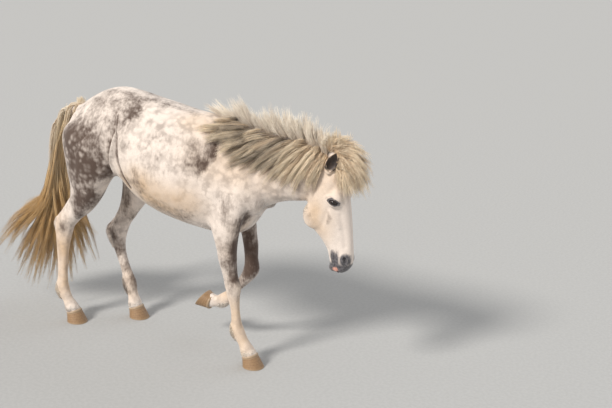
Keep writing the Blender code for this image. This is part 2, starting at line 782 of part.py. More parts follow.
def free_lock(surface, curve, widths, facing, where):
    """A lock that leaves its root and flows through the air to its tip, clear of the body."""
    path = bezier(*curve, len(widths))
    path = path[:1] + [surface.clear(p, LOCK_CLEARANCE) for p in path[1:]]
    return ribbon("lock", path, widths, [facing] * len(widths), LOCK_THICKNESS, where)


def mane(surface, where):
    """The mane, parted along the crest: swept back over each side, and a fan blown up and back."""
    rng = random.Random(15)
    for side, count in ((RIGHT, MANE_NEAR), (LEFT, MANE_FAR)):
        for i in range(count):
            s = min(1.0, max(0.0, (i + rng.uniform(-0.2, 0.2)) / (count - 1)))
            x = MANE_START - (MANE_START - MANE_END) * s
            z = crest_height(x)
            sweep = 0.04 + 0.13 * math.sin(math.pi * min(1.0, s * 1.15)) ** 0.8 + 0.03 * s
            back = sweep + rng.uniform(-0.015, 0.015)
            drop = 0.155 * (1 - s) ** 0.8 + 0.045 + rng.uniform(-0.015, 0.015)
            lift = 0.006 + 0.012 * (i % 2)
            if side == LEFT:
                back, drop = back * 0.7, drop * 1.15
            width = (MANE_START - MANE_END) / count * 2.7 * rng.uniform(0.9, 1.15)
            lying_lock(surface, (x, z), (x - back, z - drop), side, lift, width, where)
    for i in range(MANE_FAN):
        s = min(1.0, max(0.0, (i + rng.uniform(-0.2, 0.2)) / (MANE_FAN - 1)))
        x = MANE_START - (MANE_START - MANE_END) * s
        z = crest_height(x)
        rise = 0.165 - 0.075 * max(0.0, s - 0.65) / 0.35 + rng.uniform(-0.015, 0.010)
        back = 0.015 + 0.15 * s
        lane = (-0.010, 0.045, 0.018, 0.070)[i % 4]
        root = Vector((x, lane * 0.12, z - 0.020))
        tip = Vector((x - back, lane, z + rise))
        leave = root + Vector((-0.02, lane * 0.2, 0.060))
        arrive = tip + Vector((0.030 - 0.045 * (1 - s), -lane * 0.3, -0.070))
        widths = lock_widths(5, 0.098, 0.3, 0.34)
        free_lock(surface, (root, leave, arrive, tip), widths, Vector((0.15, -1, 0.1)), where)


def forelock(surface, where):
    """The forelock: locks that leave the poll between the ears and lie over a dome before the forehead."""
    rng = random.Random(26)
    centre = Vector(FORELOCK_CENTRE)
    radii = Vector(FORELOCK_RADII)
    for row, (rise, count, spread, reach) in enumerate(FORELOCK_ROWS):
        for i in range(count):
            turn = math.radians(spread) * ((i + 0.5 + 0.25 * (-1) ** row) / count * 2 - 1)
            rise_here = math.radians(rise + rng.uniform(-7, 7))
            toward = Vector((math.cos(rise_here) * math.cos(turn), math.sin(turn), math.sin(rise_here)))
            reach_here = reach * rng.uniform(0.96, 1.04)
            tip = centre + Vector(tuple(toward[a] * radii[a] for a in range(3))) * reach_here
            ahead = 0.850 + 0.027 * row + 0.010 * abs(turn)
            start = Vector((ahead, 0.042 * math.sin(turn), 1.25 - 0.02 * row))
            near, normal, _, _ = surface.tree.find_nearest(start)
            root = near - normal * 0.020
            layer = 1.0 - 0.065 * row
            path, facing = [root], [normal]
            for k in range(1, FORELOCK_POINTS):
                t = k / (FORELOCK_POINTS - 1)
                flat = (near + normal * 0.012).lerp(tip, t) - centre
                share = math.sqrt(sum((flat[a] / radii[a]) ** 2 for a in range(3)))
                out = flat * (layer / share)
                point = centre + (out if k < FORELOCK_POINTS - 1 else flat)
                point = near.lerp(point, min(1.0, 0.25 + t * 1.1))
                path.append(surface.clear(point, LOCK_CLEARANCE))
                facing.append(Vector(tuple(out[a] / radii[a] ** 2 for a in range(3))).normalized())
            widths = lock_widths(FORELOCK_POINTS, 0.070 * rng.uniform(0.9, 1.15), 0.22, 0.24)
            ribbon("lock", path, widths, facing, LOCK_THICKNESS, where)


def tail_hair(surface, where):
    """The long hair of the tail, blown back into a fan, each lock in a lane of its own."""
    rng = random.Random(37)
    path = dock_path()
    for i in range(TAIL):
        s = i / (TAIL - 1)
        lane = ((i * 7) % TAIL) / (TAIL - 1) * 2 - 1
        t = 4.7 - 2.5 * s
        k = int(t)
        root = path[k].lerp(path[min(k + 1, 5)], t - k) + Vector((0, 0.012 * lane, 0))
        bunch = 0.05 * math.sin(3.2 * math.pi * s)
        level = 0.07 + 0.22 * max(0.0, s - 0.8) / 0.2 + 0.26 * max(0.0, 0.16 - s) / 0.16
        tip = Vector((-0.64 - 0.66 * s**1.05 - bunch, 0.100 * lane, level + rng.uniform(0, 0.06)))
        leave = root + Vector((-0.040 - 0.045 * s, 0.05 * lane, -0.17))
        arrive = Vector((-0.765 - 0.15 * s, 0.085 * lane, 0.55 + 0.05 * s))
        facing = Vector((-0.9 * s, -1 if lane < 0 else 1, 0.2))
        free_lock(surface, (root, leave, arrive, tip), lock_widths(7, 0.104, 0.22, 0.10), facing, where)


def largest_surface(made):
    """Keeps only the closed surface with most faces."""
    bm = bmesh.new()
    bm.from_mesh(made.data)
    groups = loose_groups(bm)
    groups.sort(key=lambda faces: sum(f.calc_area() for f in faces))
    for faces in groups[:-1]:
        bmesh.ops.delete(bm, geom=faces, context="FACES")
    bmesh.ops.delete(bm, geom=[v for v in bm.verts if not v.link_faces], context="VERTS")
    bm.to_mesh(made.data)
    bm.free()
    return made


def loose_groups(bm):
    """Faces in lists, one list for each connected surface."""
    seen, groups = set(), []
    for start in bm.faces:
        if start in seen:
            continue
        stack, faces = [start], []
        seen.add(start)
        while stack:
            face = stack.pop()
            faces.append(face)
            for edge in face.edges:
                for other in edge.link_faces:
                    if other not in seen:
                        seen.add(other)
                        stack.append(other)
        groups.append(faces)
    return groups


def separated(body, where):
    """Each closed surface of the body as an object of its own."""
    bm = bmesh.new()
    bm.from_mesh(body.data)
    made = []
    for faces in loose_groups(bm):
        index = {}
        points, polygons = [], []
        for face in faces:
            for vertex in face.verts:
                if vertex not in index:
                    index[vertex] = len(points)
                    points.append(vertex.co.copy())
            polygons.append(tuple(index[v] for v in face.verts))
        if len(points) > 20:
            made.append(mesh_object("piece", points, polygons, where))
    bm.free()
    remove(body)
    return made


def centre_of(made):
    """Middle of an object's bounding box."""
    points = [v.co for v in made.data.vertices]
    low = Vector(tuple(min(p[a] for p in points) for a in range(3)))
    high = Vector(tuple(max(p[a] for p in points) for a in range(3)))
    return (low + high) / 2


def fuse_locks(made, grow, surface):
    """Fuses the locks that a function grows to a piece, and keeps its one closed surface."""
    locks = collection("locks", hidden=True)
    grow(surface, locks)
    for solid in (made, *locks.objects):
        split_faces(solid)
    union = made.modifiers.new("locks", "BOOLEAN")
    union.operation = "UNION"
    union.operand_type = "COLLECTION"
    union.solver = "MANIFOLD"
    union.collection = locks
    apply_modifiers(made)
    for lock in list(locks.objects):
        remove(lock)
    bpy.data.collections.remove(locks)
    largest_surface(made)


def keep_off(made, neighbour, where):
    """Takes off what of a piece's locks reaches into a neighbour, with a little to spare."""
    grown = bpy.data.objects.new("grown", neighbour.data.copy())
    where.objects.link(grown)
    for vertex in grown.data.vertices:
        vertex.co += vertex.normal * CLEARANCE
    split_faces(made)
    cut(made, grown, solver="MANIFOLD")
    largest_surface(made)


def weld(made):
    """Merges points closer than the merge distance and drops what that leaves flat."""
    bm = bmesh.new()
    bm.from_mesh(made.data)
    bmesh.ops.remove_doubles(bm, verts=bm.verts, dist=MERGE)
    bmesh.ops.dissolve_degenerate(bm, edges=bm.edges, dist=MERGE)
    bm.to_mesh(made.data)
    bm.free()


def split_faces(made):
    """Leaves plain triangles."""
    bm = bmesh.new()
    bm.from_mesh(made.data)
    bmesh.ops.triangulate(bm, faces=bm.faces)
    bm.to_mesh(made.data)
    bm.free()


def material(name, colour, roughness=0.8):
    """A Principled material of one colour."""
    made = bpy.data.materials.new(name)
    made.use_nodes = True
    shader = made.node_tree.nodes["Principled BSDF"]
    shader.inputs["Base Color"].default_value = (*colour, 1.0)
    shader.inputs["Roughness"].default_value = roughness
    made.diffuse_color = (*colour, 1.0)
    return made


def main():
    """Makes the flesh, parts it into named pieces, adds eyes, hooves and locks, and sets the whole down."""
    for old in list(bpy.data.objects):
        bpy.data.objects.remove(old)
    horse = collection("icelandic_horse")
    cutters = collection("cutters", hidden=True)

    body = thinned(flesh())
    surface = Surface(body)
    add_ears(body, cutters)
    add_lids(body, cutters)
    add_muzzle(body, cutters)
    for lower, upper, low_y, high_y in CUTS:
        cut(body, slab(lower, upper, low_y, high_y, cutters))
    for side in (RIGHT, LEFT):
        root = Vector((EAR_ROOT[0], side * EAR_ROOT[1], EAR_ROOT[2]))
        tip = Vector((EAR_TIP[0], side * EAR_TIP[1], EAR_TIP[2]))
        way, across, out = frame_of(tip - root, Vector((0.55, side * 0.80, 0.05)))
        plane = box("ear_cut", (0, 0, 0), (0.084, 0.062, CUT_GAP), cutters)
        place(plane, root + way * EAR_CUT, across, out, way)
        cut(body, plane)
    for spec in HOOVES.values():
        cut(body, coronet_cutter(spec, cutters))

    pieces = separated(body, horse)
    for piece in pieces:
        middle = centre_of(piece)
        name = min(SEEDS, key=lambda n: (Vector(SEEDS[n]) - middle).length)
        piece.name = piece.data.name = name
    for name, spec in HOOVES.items():
        hoof(name, spec, horse)
    for name, side in (("eye_right", RIGHT), ("eye_left", LEFT)):
        centre, look, along, over = eye_frame(side)
        eye = ellipsoid(name, (0, 0, 0), (EYE_RADIUS,) * 3, horse, 0, 14, 10)
        place(eye, centre, along, look, over)
    for made in horse.objects:
        weld(made)
    fuse_locks(bpy.data.objects["neck"], mane, surface)
    fuse_locks(bpy.data.objects["head"], forelock, surface)
    fuse_locks(bpy.data.objects["tail"], tail_hair, surface)
    for neighbour in ("torso", "head"):
        keep_off(bpy.data.objects["neck"], bpy.data.objects[neighbour], cutters)

    white = material("white_hair", (0.78, 0.74, 0.68))
    tan = material("tail_hair", (0.55, 0.42, 0.28))
    horn = material("hoof_horn", (0.55, 0.33, 0.16), 0.5)
    dark = material("eye_dark", (0.03, 0.03, 0.035), 0.1)
    for made in horse.objects:
        split_faces(made)
        made.data.materials.clear()
        kind = made.name.split("_")[-1]
        chosen = horn if kind == "hoof" else dark if made.name.startswith("eye") else white
        made.data.materials.append(tan if made.name == "tail" else chosen)
    bpy.data.collections.remove(cutters)
    settle(horse)


def settle(horse):
    """Moves everything so that the origin is under the middle of the whole, at its lowest point."""
    points = [made.matrix_world @ v.co for made in horse.objects for v in made.data.vertices]
    low = Vector(tuple(min(p[a] for p in points) for a in range(3)))
    high = Vector(tuple(max(p[a] for p in points) for a in range(3)))
    shift = Vector((-(low.x + high.x) / 2, -(low.y + high.y) / 2, -low.z))
    for made in horse.objects:
        made.data.transform(Matrix.Translation(shift))
        made.data.update()


main()
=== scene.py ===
"""The looks of a life-size Icelandic horse: skin, coat, mane, tail, eyes, hooves and a plain studio.

Laid out as an add-on: sizes and colours are properties, and each piece has an operator. Metres, +X forward,
+Y to the horse's left, +Z up. Forms are drawn about the drawing's own origin and then settled into the frame.
"""

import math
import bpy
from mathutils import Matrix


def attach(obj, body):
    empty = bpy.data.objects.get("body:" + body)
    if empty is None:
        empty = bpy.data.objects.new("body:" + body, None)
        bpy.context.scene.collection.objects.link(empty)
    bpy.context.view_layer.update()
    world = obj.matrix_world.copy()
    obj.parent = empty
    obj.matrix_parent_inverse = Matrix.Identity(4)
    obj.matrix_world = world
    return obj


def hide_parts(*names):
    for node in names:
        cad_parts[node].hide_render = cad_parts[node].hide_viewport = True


bl_info = {
    "name": "Icelandic horse looks",
    "version": (1, 0, 0),
    "blender": (4, 5, 0),
    "location": "View3D > Sidebar > Horse",
    "description": "Builds the looks of a life-size horse, and a studio, around its packed solids",
    "category": "Object",
}

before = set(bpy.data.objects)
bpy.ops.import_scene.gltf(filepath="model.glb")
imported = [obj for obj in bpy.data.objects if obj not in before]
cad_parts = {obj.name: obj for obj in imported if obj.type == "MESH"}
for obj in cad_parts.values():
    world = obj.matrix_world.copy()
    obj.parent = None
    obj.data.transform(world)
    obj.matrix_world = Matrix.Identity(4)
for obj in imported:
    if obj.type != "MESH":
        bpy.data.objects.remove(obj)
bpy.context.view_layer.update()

import bpy
import numpy as np
from mathutils import Matrix, Vector
from mathutils.bvhtree import BVHTree

SETTLE = Vector((0.0998, 0.00016, 0.0))
RIGHT, LEFT = -1, 1
VOXEL = 0.0065
SMOOTHING = 8
BROAD_SMOOTHING = 40
SKIN_SHARE = 0.42
RING_POINTS, SLIM_RING_POINTS = 40, 28
STATION_STEPS = 5
EAR_STEPS = 20
GUIDE_STEPS = 24
# Where the legs end upwards and the head begins, for the coat's depth and detail.
LEG_TOP, HEAD_START = 0.6, 0.8
LEG_TUFTS_TOP = 0.62

# Trunk stations: x, top, bottom, half width, how much narrower the top is.
TRUNK = (
    (-0.7, 1.15, 0.98, 0.04, 0.0),
    (-0.665, 1.212, 0.925, 0.125, 0.1),
    (-0.6, 1.268, 0.9, 0.18, 0.16),
    (-0.5, 1.328, 0.892, 0.215, 0.2),
    (-0.4, 1.358, 0.885, 0.232, 0.2),
    (-0.3, 1.352, 0.85, 0.242, 0.16),
    (-0.2, 1.336, 0.775, 0.258, 0.14),
    (-0.08, 1.318, 0.728, 0.276, 0.14),
    (0.06, 1.298, 0.7, 0.28, 0.18),
    (0.18, 1.292, 0.684, 0.262, 0.3),
    (0.3, 1.268, 0.68, 0.22, 0.44),
    (0.4, 1.205, 0.705, 0.19, 0.34),
    (0.455, 1.13, 0.775, 0.155, 0.2),
    (0.5, 1.05, 0.85, 0.11, 0.1),
    (0.53, 0.985, 0.91, 0.045, 0.0),
)

# Neck stations, as the trunk's.
NECK = (
    (0.18, 1.285, 0.8, 0.15, 0.4),
    (0.32, 1.258, 0.79, 0.16, 0.52),
    (0.43, 1.226, 0.822, 0.142, 0.5),
    (0.53, 1.213, 0.866, 0.12, 0.44),
    (0.63, 1.21, 0.908, 0.104, 0.38),
    (0.73, 1.204, 0.928, 0.094, 0.32),
    (0.8, 1.19, 0.955, 0.086, 0.26),
    (0.86, 1.165, 0.995, 0.074, 0.2),
)

# Head stations from poll to lips: front x, z, rear x, z, half width, how much narrower the front is.
HEAD = (
    (0.852, 1.192, 0.808, 1.15, 0.03, 0.0),
    (0.892, 1.166, 0.78, 1.07, 0.058, 0.25),
    (0.928, 1.114, 0.762, 0.995, 0.077, 0.12),
    (0.953, 1.05, 0.753, 0.94, 0.085, 0.08),
    (0.969, 0.985, 0.752, 0.895, 0.085, 0.1),
    (0.982, 0.92, 0.76, 0.848, 0.079, 0.12),
    (0.992, 0.86, 0.79, 0.8, 0.068, 0.16),
    (1.0, 0.8, 0.833, 0.757, 0.058, 0.18),
    (1.006, 0.742, 0.868, 0.71, 0.051, 0.12),
    (1.01, 0.692, 0.884, 0.664, 0.051, 0.06),
    (1.008, 0.648, 0.889, 0.628, 0.049, 0.04),
    (0.99, 0.616, 0.896, 0.606, 0.041, 0.04),
    (0.968, 0.598, 0.914, 0.597, 0.02, 0.0),
)

# Limb stations: x, outward y, z, half length fore and aft, half width.
FORE_STANDING = (
    (0.372, 0.118, 1.0, 0.12, 0.06),
    (0.356, 0.14, 0.9, 0.122, 0.062),
    (0.358, 0.148, 0.8, 0.096, 0.062),
    (0.362, 0.148, 0.72, 0.074, 0.058),
    (0.366, 0.142, 0.65, 0.059, 0.051),
    (0.371, 0.134, 0.57, 0.05, 0.042),
    (0.385, 0.126, 0.49, 0.041, 0.035),
    (0.398, 0.12, 0.432, 0.045, 0.037),
    (0.4, 0.116, 0.385, 0.037, 0.032),
    (0.407, 0.11, 0.32, 0.028, 0.023),
    (0.412, 0.102, 0.25, 0.028, 0.024),
    (0.418, 0.096, 0.192, 0.038, 0.032),
    (0.452, 0.09, 0.128, 0.031, 0.029),
    (0.48, 0.086, 0.078, 0.04, 0.039),
    (0.502, 0.084, 0.038, 0.042, 0.04),
)
FORE_LIFTED = (
    (0.362, 0.118, 1.0, 0.116, 0.06),
    (0.332, 0.14, 0.9, 0.108, 0.062),
    (0.314, 0.146, 0.82, 0.08, 0.058),
    (0.313, 0.146, 0.74, 0.057, 0.053),
    (0.328, 0.142, 0.66, 0.046, 0.046),
    (0.348, 0.136, 0.58, 0.042, 0.039),
    (0.358, 0.129, 0.505, 0.039, 0.035),
    (0.364, 0.124, 0.45, 0.046, 0.037),
    (0.34, 0.121, 0.402, 0.037, 0.032),
    (0.298, 0.12, 0.347, 0.028, 0.023),
    (0.25, 0.12, 0.289, 0.028, 0.024),
    (0.205, 0.12, 0.243, 0.037, 0.032),
    (0.162, 0.12, 0.222, 0.031, 0.029),
    (0.122, 0.12, 0.214, 0.04, 0.039),
    (0.082, 0.12, 0.218, 0.042, 0.04),
)
HIND_BACK = (
    (-0.47, 0.085, 1.2, 0.12, 0.08),
    (-0.48, 0.128, 1.1, 0.192, 0.112),
    (-0.492, 0.136, 0.99, 0.18, 0.108),
    (-0.512, 0.137, 0.89, 0.14, 0.094),
    (-0.53, 0.136, 0.8, 0.106, 0.078),
    (-0.568, 0.133, 0.715, 0.078, 0.063),
    (-0.625, 0.131, 0.645, 0.057, 0.049),
    (-0.672, 0.13, 0.585, 0.052, 0.039),
    (-0.694, 0.13, 0.525, 0.053, 0.038),
    (-0.703, 0.13, 0.45, 0.043, 0.031),
    (-0.708, 0.13, 0.35, 0.034, 0.025),
    (-0.711, 0.129, 0.25, 0.032, 0.025),
    (-0.713, 0.128, 0.18, 0.041, 0.034),
    (-0.68, 0.127, 0.122, 0.031, 0.029),
    (-0.652, 0.126, 0.076, 0.04, 0.039),
    (-0.63, 0.126, 0.038, 0.042, 0.04),
)
HIND_FORWARD = (
    (-0.45, 0.085, 1.2, 0.12, 0.08),
    (-0.44, 0.128, 1.1, 0.19, 0.112),
    (-0.412, 0.138, 0.99, 0.172, 0.106),
    (-0.386, 0.14, 0.89, 0.14, 0.092),
    (-0.384, 0.139, 0.8, 0.112, 0.077),
    (-0.412, 0.136, 0.715, 0.082, 0.062),
    (-0.45, 0.133, 0.63, 0.06, 0.048),
    (-0.488, 0.131, 0.56, 0.052, 0.039),
    (-0.514, 0.13, 0.49, 0.053, 0.038),
    (-0.514, 0.128, 0.42, 0.043, 0.031),
    (-0.494, 0.126, 0.35, 0.034, 0.025),
    (-0.462, 0.124, 0.27, 0.032, 0.025),
    (-0.432, 0.122, 0.195, 0.04, 0.034),
    (-0.412, 0.121, 0.135, 0.031, 0.029),
    (-0.396, 0.12, 0.08, 0.04, 0.039),
    (-0.384, 0.12, 0.04, 0.042, 0.04),
)
DOCK = (
    (-0.6, 0.0, 1.185, 0.04, 0.04),
    (-0.67, 0.0, 1.196, 0.038, 0.038),
    (-0.728, 0.0, 1.178, 0.034, 0.034),
    (-0.77, 0.0, 1.125, 0.028, 0.028),
    (-0.795, 0.0, 1.025, 0.022, 0.022),
    (-0.81, 0.0, 0.935, 0.012, 0.012),
)

# The cord behind each gaskin, over the point of the hock and down the cannon: side, then x, z, radius.
HAMSTRINGS = (
    (RIGHT, ((-0.63, 0.72, 0.024), (-0.7, 0.635, 0.015), (-0.741, 0.576, 0.019),
             (-0.738, 0.53, 0.019), (-0.722, 0.46, 0.014))),
    (LEFT, ((-0.47, 0.65, 0.024), (-0.535, 0.56, 0.015), (-0.583, 0.492, 0.019),
            (-0.58, 0.45, 0.019), (-0.548, 0.38, 0.014))),
)

# Ellipsoid masses on both sides: centre x, outward y, z, radii, turn about Y in degrees.
MASSES = (
    (0.4, 0.105, 1.03, 0.085, 0.062, 0.21, -30),
    (0.47, 0.075, 0.905, 0.055, 0.058, 0.085, -20),
    (0.33, 0.14, 0.86, 0.12, 0.06, 0.14, 20),
    (-0.59, 0.09, 1.06, 0.09, 0.08, 0.17, 0),
    (0.812, 0.05, 0.89, 0.066, 0.032, 0.084, 22),
    (0.906, 0.054, 0.986, 0.052, 0.034, 0.05, -20),
    (0.918, 0.043, 0.88, 0.015, 0.021, 0.105, -6),
    (0.974, 0.03, 0.672, 0.026, 0.024, 0.038, -8),
    (0.912, 0.018, 0.622, 0.024, 0.024, 0.024, 0),
    (0.884, 0.004, 1.168, 0.048, 0.032, 0.046, 30),
)

EAR_LENGTH = 0.124
EAR_ROOT = (0.872, 0.055, 1.112)
EAR_TIP = (0.922, 0.08, 1.222)
EYE_CENTRE = (0.918, 0.0705, 0.974)
NOSTRIL_CENTRE = (0.99, 0.0475, 0.676)
PINK_SPOT, PINK_RADII = (1.036, -0.04, 0.622), (0.016, 0.024, 0.013)

# The opening of the lids: half its length, then its heights above and below the middle.
EYE_OPENING = (0.022, 0.0122, 0.0098)
# Rims and creases round it: rise, how far out, width, share of it on the lower lid.
LID_CREASES = ((0.001, 1.12, 0.1, 1.0), (-0.0021, 1.72, 0.16, 0.55), (0.0012, 2.15, 0.22, 0.55),
               (-0.0012, 2.75, 0.2, 0.0))
LID_THICKNESS = 0.0038
LID_BLEND = 0.006
EYEBALL_STEPS = (64, 48)
CORNEA_BULGE = 0.0011
PUPIL_RADII = (0.0078, 0.0034)
IRIS_EDGE = 42.0
MOUTH = ((0.957, 0.585), (0.946, 0.618), (0.935, 0.65), (0.929, 0.68), (0.926, 0.712))

# Hooves: sole centre x, y, z, pitch in degrees.
HOOVES = {
    "fore_right_hoof": (0.512, -0.084, 0.0, 0.0),
    "fore_left_hoof": (0.064, 0.12, 0.222, 124.8),
    "hind_right_hoof": (-0.616, -0.126, 0.0, 0.0),
    "hind_left_hoof": (-0.366, 0.12, 0.0, 0.0),
}
HOOF_POINTS = 64
# The coronet lies behind and above the middle of the sole.
CORONET_BEHIND = 0.024
CORONET_HEIGHT = 0.06
CORONET_SLOPE = math.radians(22)
SOLE_FORE, SOLE_SIDE = 0.06, 0.056
# Rows of the sole from its middle to the bearing rim: share of its reach, height above the ground.
SOLE_ROWS = ((0.02, 0.006), (0.25, 0.006), (0.5, 0.0055), (0.72, 0.005), (0.83, 0.004), (0.86, 0.0005),
             (0.93, 0.0), (0.98, 0.0))
WALL_STEPS = 30
CORONET_FORE, CORONET_SIDE = 0.0425, 0.0405
HAMSTRING_ASIDE, HAMSTRING_FLATNESS = 0.13, 0.85


def on_side(place, side):
    """A place given for the left side, on the right or left side."""
    x, y, z = place
    return np.array((x, side * y, z))


def clear_selection():
    """Leaves nothing selected."""
    if bpy.context.object and bpy.context.object.mode != "OBJECT":
        bpy.ops.object.mode_set(mode="OBJECT")
    bpy.ops.object.select_all(action="DESELECT")


def pick(made):
    """Makes one object the only selected and the active one."""
    clear_selection()
    made.select_set(True)
    bpy.context.view_layer.objects.active = made


def linked(name, data):
    """A new object in the scene."""
    made = bpy.data.objects.new(name, data)
    bpy.context.scene.collection.objects.link(made)
    return made


def mesh_object(name, points, faces):
    """A new mesh object made from points and faces."""
    mesh = bpy.data.meshes.new(name)
    mesh.from_pydata([tuple(p) for p in points], [], faces)
    mesh.update()
    return linked(name, mesh)


def apply_modifier(made, name, kind, **settings):
    """Adds a modifier with its settings and applies it."""
    pick(made)
    modifier = made.modifiers.new(name, kind)
    for key, value in settings.items():
        setattr(modifier, key, value)
    bpy.ops.object.modifier_apply(modifier=modifier.name)


def join(pieces, name):
    """Joins objects into one."""
    clear_selection()
    for piece in pieces:
        piece.select_set(True)
    bpy.context.view_layer.objects.active = pieces[0]
    bpy.ops.object.join()
    made = bpy.context.object
    made.name = made.data.name = name
    return made


def catmull(table, steps):
    """Rows spread along a smooth curve through the table's rows."""
    rows = np.array(table, float)
    padded = np.vstack([2 * rows[0] - rows[1], rows, 2 * rows[-1] - rows[-2]])
    spread = []
    for i in range(1, len(padded) - 2):
        a, b, c, d = padded[i - 1 : i + 3]
        for k in range(steps):
            t = k / steps
            spread.append(
                0.5 * (2 * b + (c - a) * t + (2 * a - 5 * b + 4 * c - d) * t**2)
                + 0.5 * (3 * b - a - 3 * c + d) * t**3
            )
    spread.append(rows[-1])
    return np.array(spread)


def loft(name, rings):
    """A closed body through rings of equal point count."""
    count = len(rings[0])
    points = [p for ring in rings for p in ring]
    faces = []
    for r in range(len(rings) - 1):
        for k in range(count):
            n = (k + 1) % count
            faces.append((r * count + k, r * count + n, (r + 1) * count + n, (r + 1) * count + k))
    faces.append(tuple(reversed(range(count))))
    faces.append(tuple((len(rings) - 1) * count + k for k in range(count)))
    made = mesh_object(name, points, faces)
    pick(made)
    bpy.ops.object.mode_set(mode="EDIT")
    bpy.ops.mesh.select_all(action="SELECT")
    bpy.ops.mesh.normals_make_consistent(inside=False)
    bpy.ops.object.mode_set(mode="OBJECT")
    return made


def egg_ring(centre, up, side, narrow, squareness, count=RING_POINTS):
    """A superellipse of half axes up and side, narrower towards up."""
    ring = []
    for k in range(count):
        angle = 2 * math.pi * k / count
        c, s = math.cos(angle), math.sin(angle)
        rise = math.copysign(abs(c) ** (2 / squareness), c)
        reach = math.copysign(abs(s) ** (2 / squareness), s)
        reach *= 1 - narrow * (rise + 1) / 2 * max(0.0, rise + 0.3)
        ring.append(centre + up * rise + side * reach)
    return ring


def barrel(name, table, squareness):
    """A loft of upright sections along X, for the trunk and the neck."""
    rings = []
    for x, top, bottom, half_width, narrow in catmull(table, STATION_STEPS):
        centre, up = Vector((x, 0, (top + bottom) / 2)), Vector((0, 0, (top - bottom) / 2))
        rings.append(egg_ring(centre, up, Vector((0, max(half_width, 0.004), 0)), narrow, squareness))
    return loft(name, rings)


def head_loft():
    """The skull and jaws, from poll to lips, in sections from the face to the jaw."""
    rings = []
    for front_x, front_z, rear_x, rear_z, half_width, narrow in catmull(HEAD, STATION_STEPS):
        front, rear = Vector((front_x, 0, front_z)), Vector((rear_x, 0, rear_z))
        wide = Vector((0, half_width, 0))
        rings.append(egg_ring((front + rear) / 2, (front - rear) / 2, wide, narrow, 2.3))
    return loft("head_form", rings)


def limb(name, table, side):
    """A leg: a loft whose sections stand square to the way it runs."""
    rows = catmull(table, STATION_STEPS)
    rows[:, 1] *= side
    rings = []
    for i, (x, y, z, half_length, half_width) in enumerate(rows):
        before, after = rows[max(i - 1, 0)], rows[min(i + 1, len(rows) - 1)]
        way = Vector(after[:3] - before[:3]).normalized()
        across = Vector((0, 1, 0))
        ahead = across.cross(way).normalized()
        deep, wide = ahead * half_length, across * half_width
        rings.append(egg_ring(Vector((x, y, z)), deep, wide, 0.0, 2.1, SLIM_RING_POINTS))
    return loft(name, rings)


def ball(name, centre, radii, turn, segments=32, rings=20):
    """A sphere primitive scaled to its radii and turned about Y, its place in its mesh."""
    clear_selection()
    bpy.ops.mesh.primitive_uv_sphere_add(segments=segments, ring_count=rings, radius=1.0)
    made = bpy.context.object
    made.name = made.data.name = name
    turned = Matrix.Rotation(math.radians(turn), 4, "Y") @ Matrix.Diagonal((*radii, 1.0))
    made.data.transform(Matrix.Translation(centre) @ turned)
    return made


def frame_of(way, side_hint):
    """Unit vectors along a way, across it and out of it."""
    way = way.normalized()
    out = (side_hint - way * side_hint.dot(way)).normalized()
    return way, out.cross(way), out


def ear_size(t):
    """Half width and half depth of an ear at a share of its length."""
    half_width = 0.03 * math.sin(math.pi * min(1.0, 0.2 + 0.8 * t)) ** 0.95 + 0.0012
    half_depth = 0.019 * (1 - t) ** 0.55 + 0.0015
    return half_width, half_depth


def ear_frame(side):
    """Root of an ear and unit vectors along it, across it and out of its cup."""
    root, tip = Vector(on_side(EAR_ROOT, side)), Vector(on_side(EAR_TIP, side))
    return (root, *frame_of(tip - root, Vector((0.55, side * 0.8, 0.05))))


def ear_rings(side, first, last, width_share, depth_share, shift, opening=0.0):
    """Sections of an ear or of its cup between two shares of its length; a cup opens from a point."""
    root, way, across, out = ear_frame(side)
    rings = []
    for i in range(EAR_STEPS):
        t = first + (last - first) * i / (EAR_STEPS - 1)
        half_width, half_depth = ear_size(t)
        share = min(1.0, 0.12 + (t - first) / opening) ** 0.7 if opening else 1.0
        aside = half_depth * (shift + (1 - share) * 0.35)
        centre = root + way * (EAR_LENGTH * t) + out * (aside - 0.01 * math.sin(math.pi * t))
        deep, wide = out * (half_depth * depth_share * share), across * (half_width * width_share * share)
        rings.append(egg_ring(centre, deep, wide, 0.0, 2.0, SLIM_RING_POINTS))
    return rings


def cut(body, cutter, operation="DIFFERENCE"):
    """Applies one Boolean to a body and removes the other object."""
    apply_modifier(body, "cut", "BOOLEAN", operation=operation, solver="EXACT", object=cutter)
    mesh = cutter.data
    bpy.data.objects.remove(cutter)
    bpy.data.meshes.remove(mesh)


def weight_group(body, name, weight):
    """A vertex group with the weight that a function of all the places gives."""
    group = body.vertex_groups.new(name=name)
    values = np.clip(weight(points_of(body)), 0.0, 1.0)
    for index, value in enumerate(values):
        if value > 0.0:
            group.add([index], float(value), "REPLACE")
    return group.name


def rows_of(items, key, width):
    """One property of many items, a row for each."""
    rows = np.empty(len(items) * width, np.float32)
    items.foreach_get(key, rows)
    return rows.reshape(-1, width).astype(float)


def points_of(made):
    """All the mesh's points as rows."""
    return rows_of(made.data.vertices, "co", 3)


def normals_of(made):
    """All the mesh's point normals as rows."""
    return rows_of(made.data.vertex_normals, "vector", 3)


def put_points(made, points):
    """Writes the mesh's points."""
    made.data.vertices.foreach_set("co", points.astype(np.float32).ravel())
    made.data.update()


def broadness(p):
    """1 on the trunk and neck, 0 on the head, the legs and the dock."""
    return np.minimum.reduce([(0.74 - p[:, 0]) / 0.1, (p[:, 2] - 0.74) / 0.12, (p[:, 0] + 0.72) / 0.05])


def plainness(p):
    """1 where the skin has no folds and fewer triangles will do, 0 on the head and near the folds."""
    fold = np.minimum.reduce([side_line(p, line) for line, *_ in FOLDS[:BODY_FOLDS]])
    return ((p[:, 0] < 0.76) & ((fold > 0.03) | (np.abs(p[:, 1]) < 0.06))).astype(float)


def smoothstep(low, high, value):
    """0 below low, 1 above high and smooth between."""
    t = np.clip((value - low) / (high - low), 0.0, 1.0)
    return t * t * (3 - 2 * t)


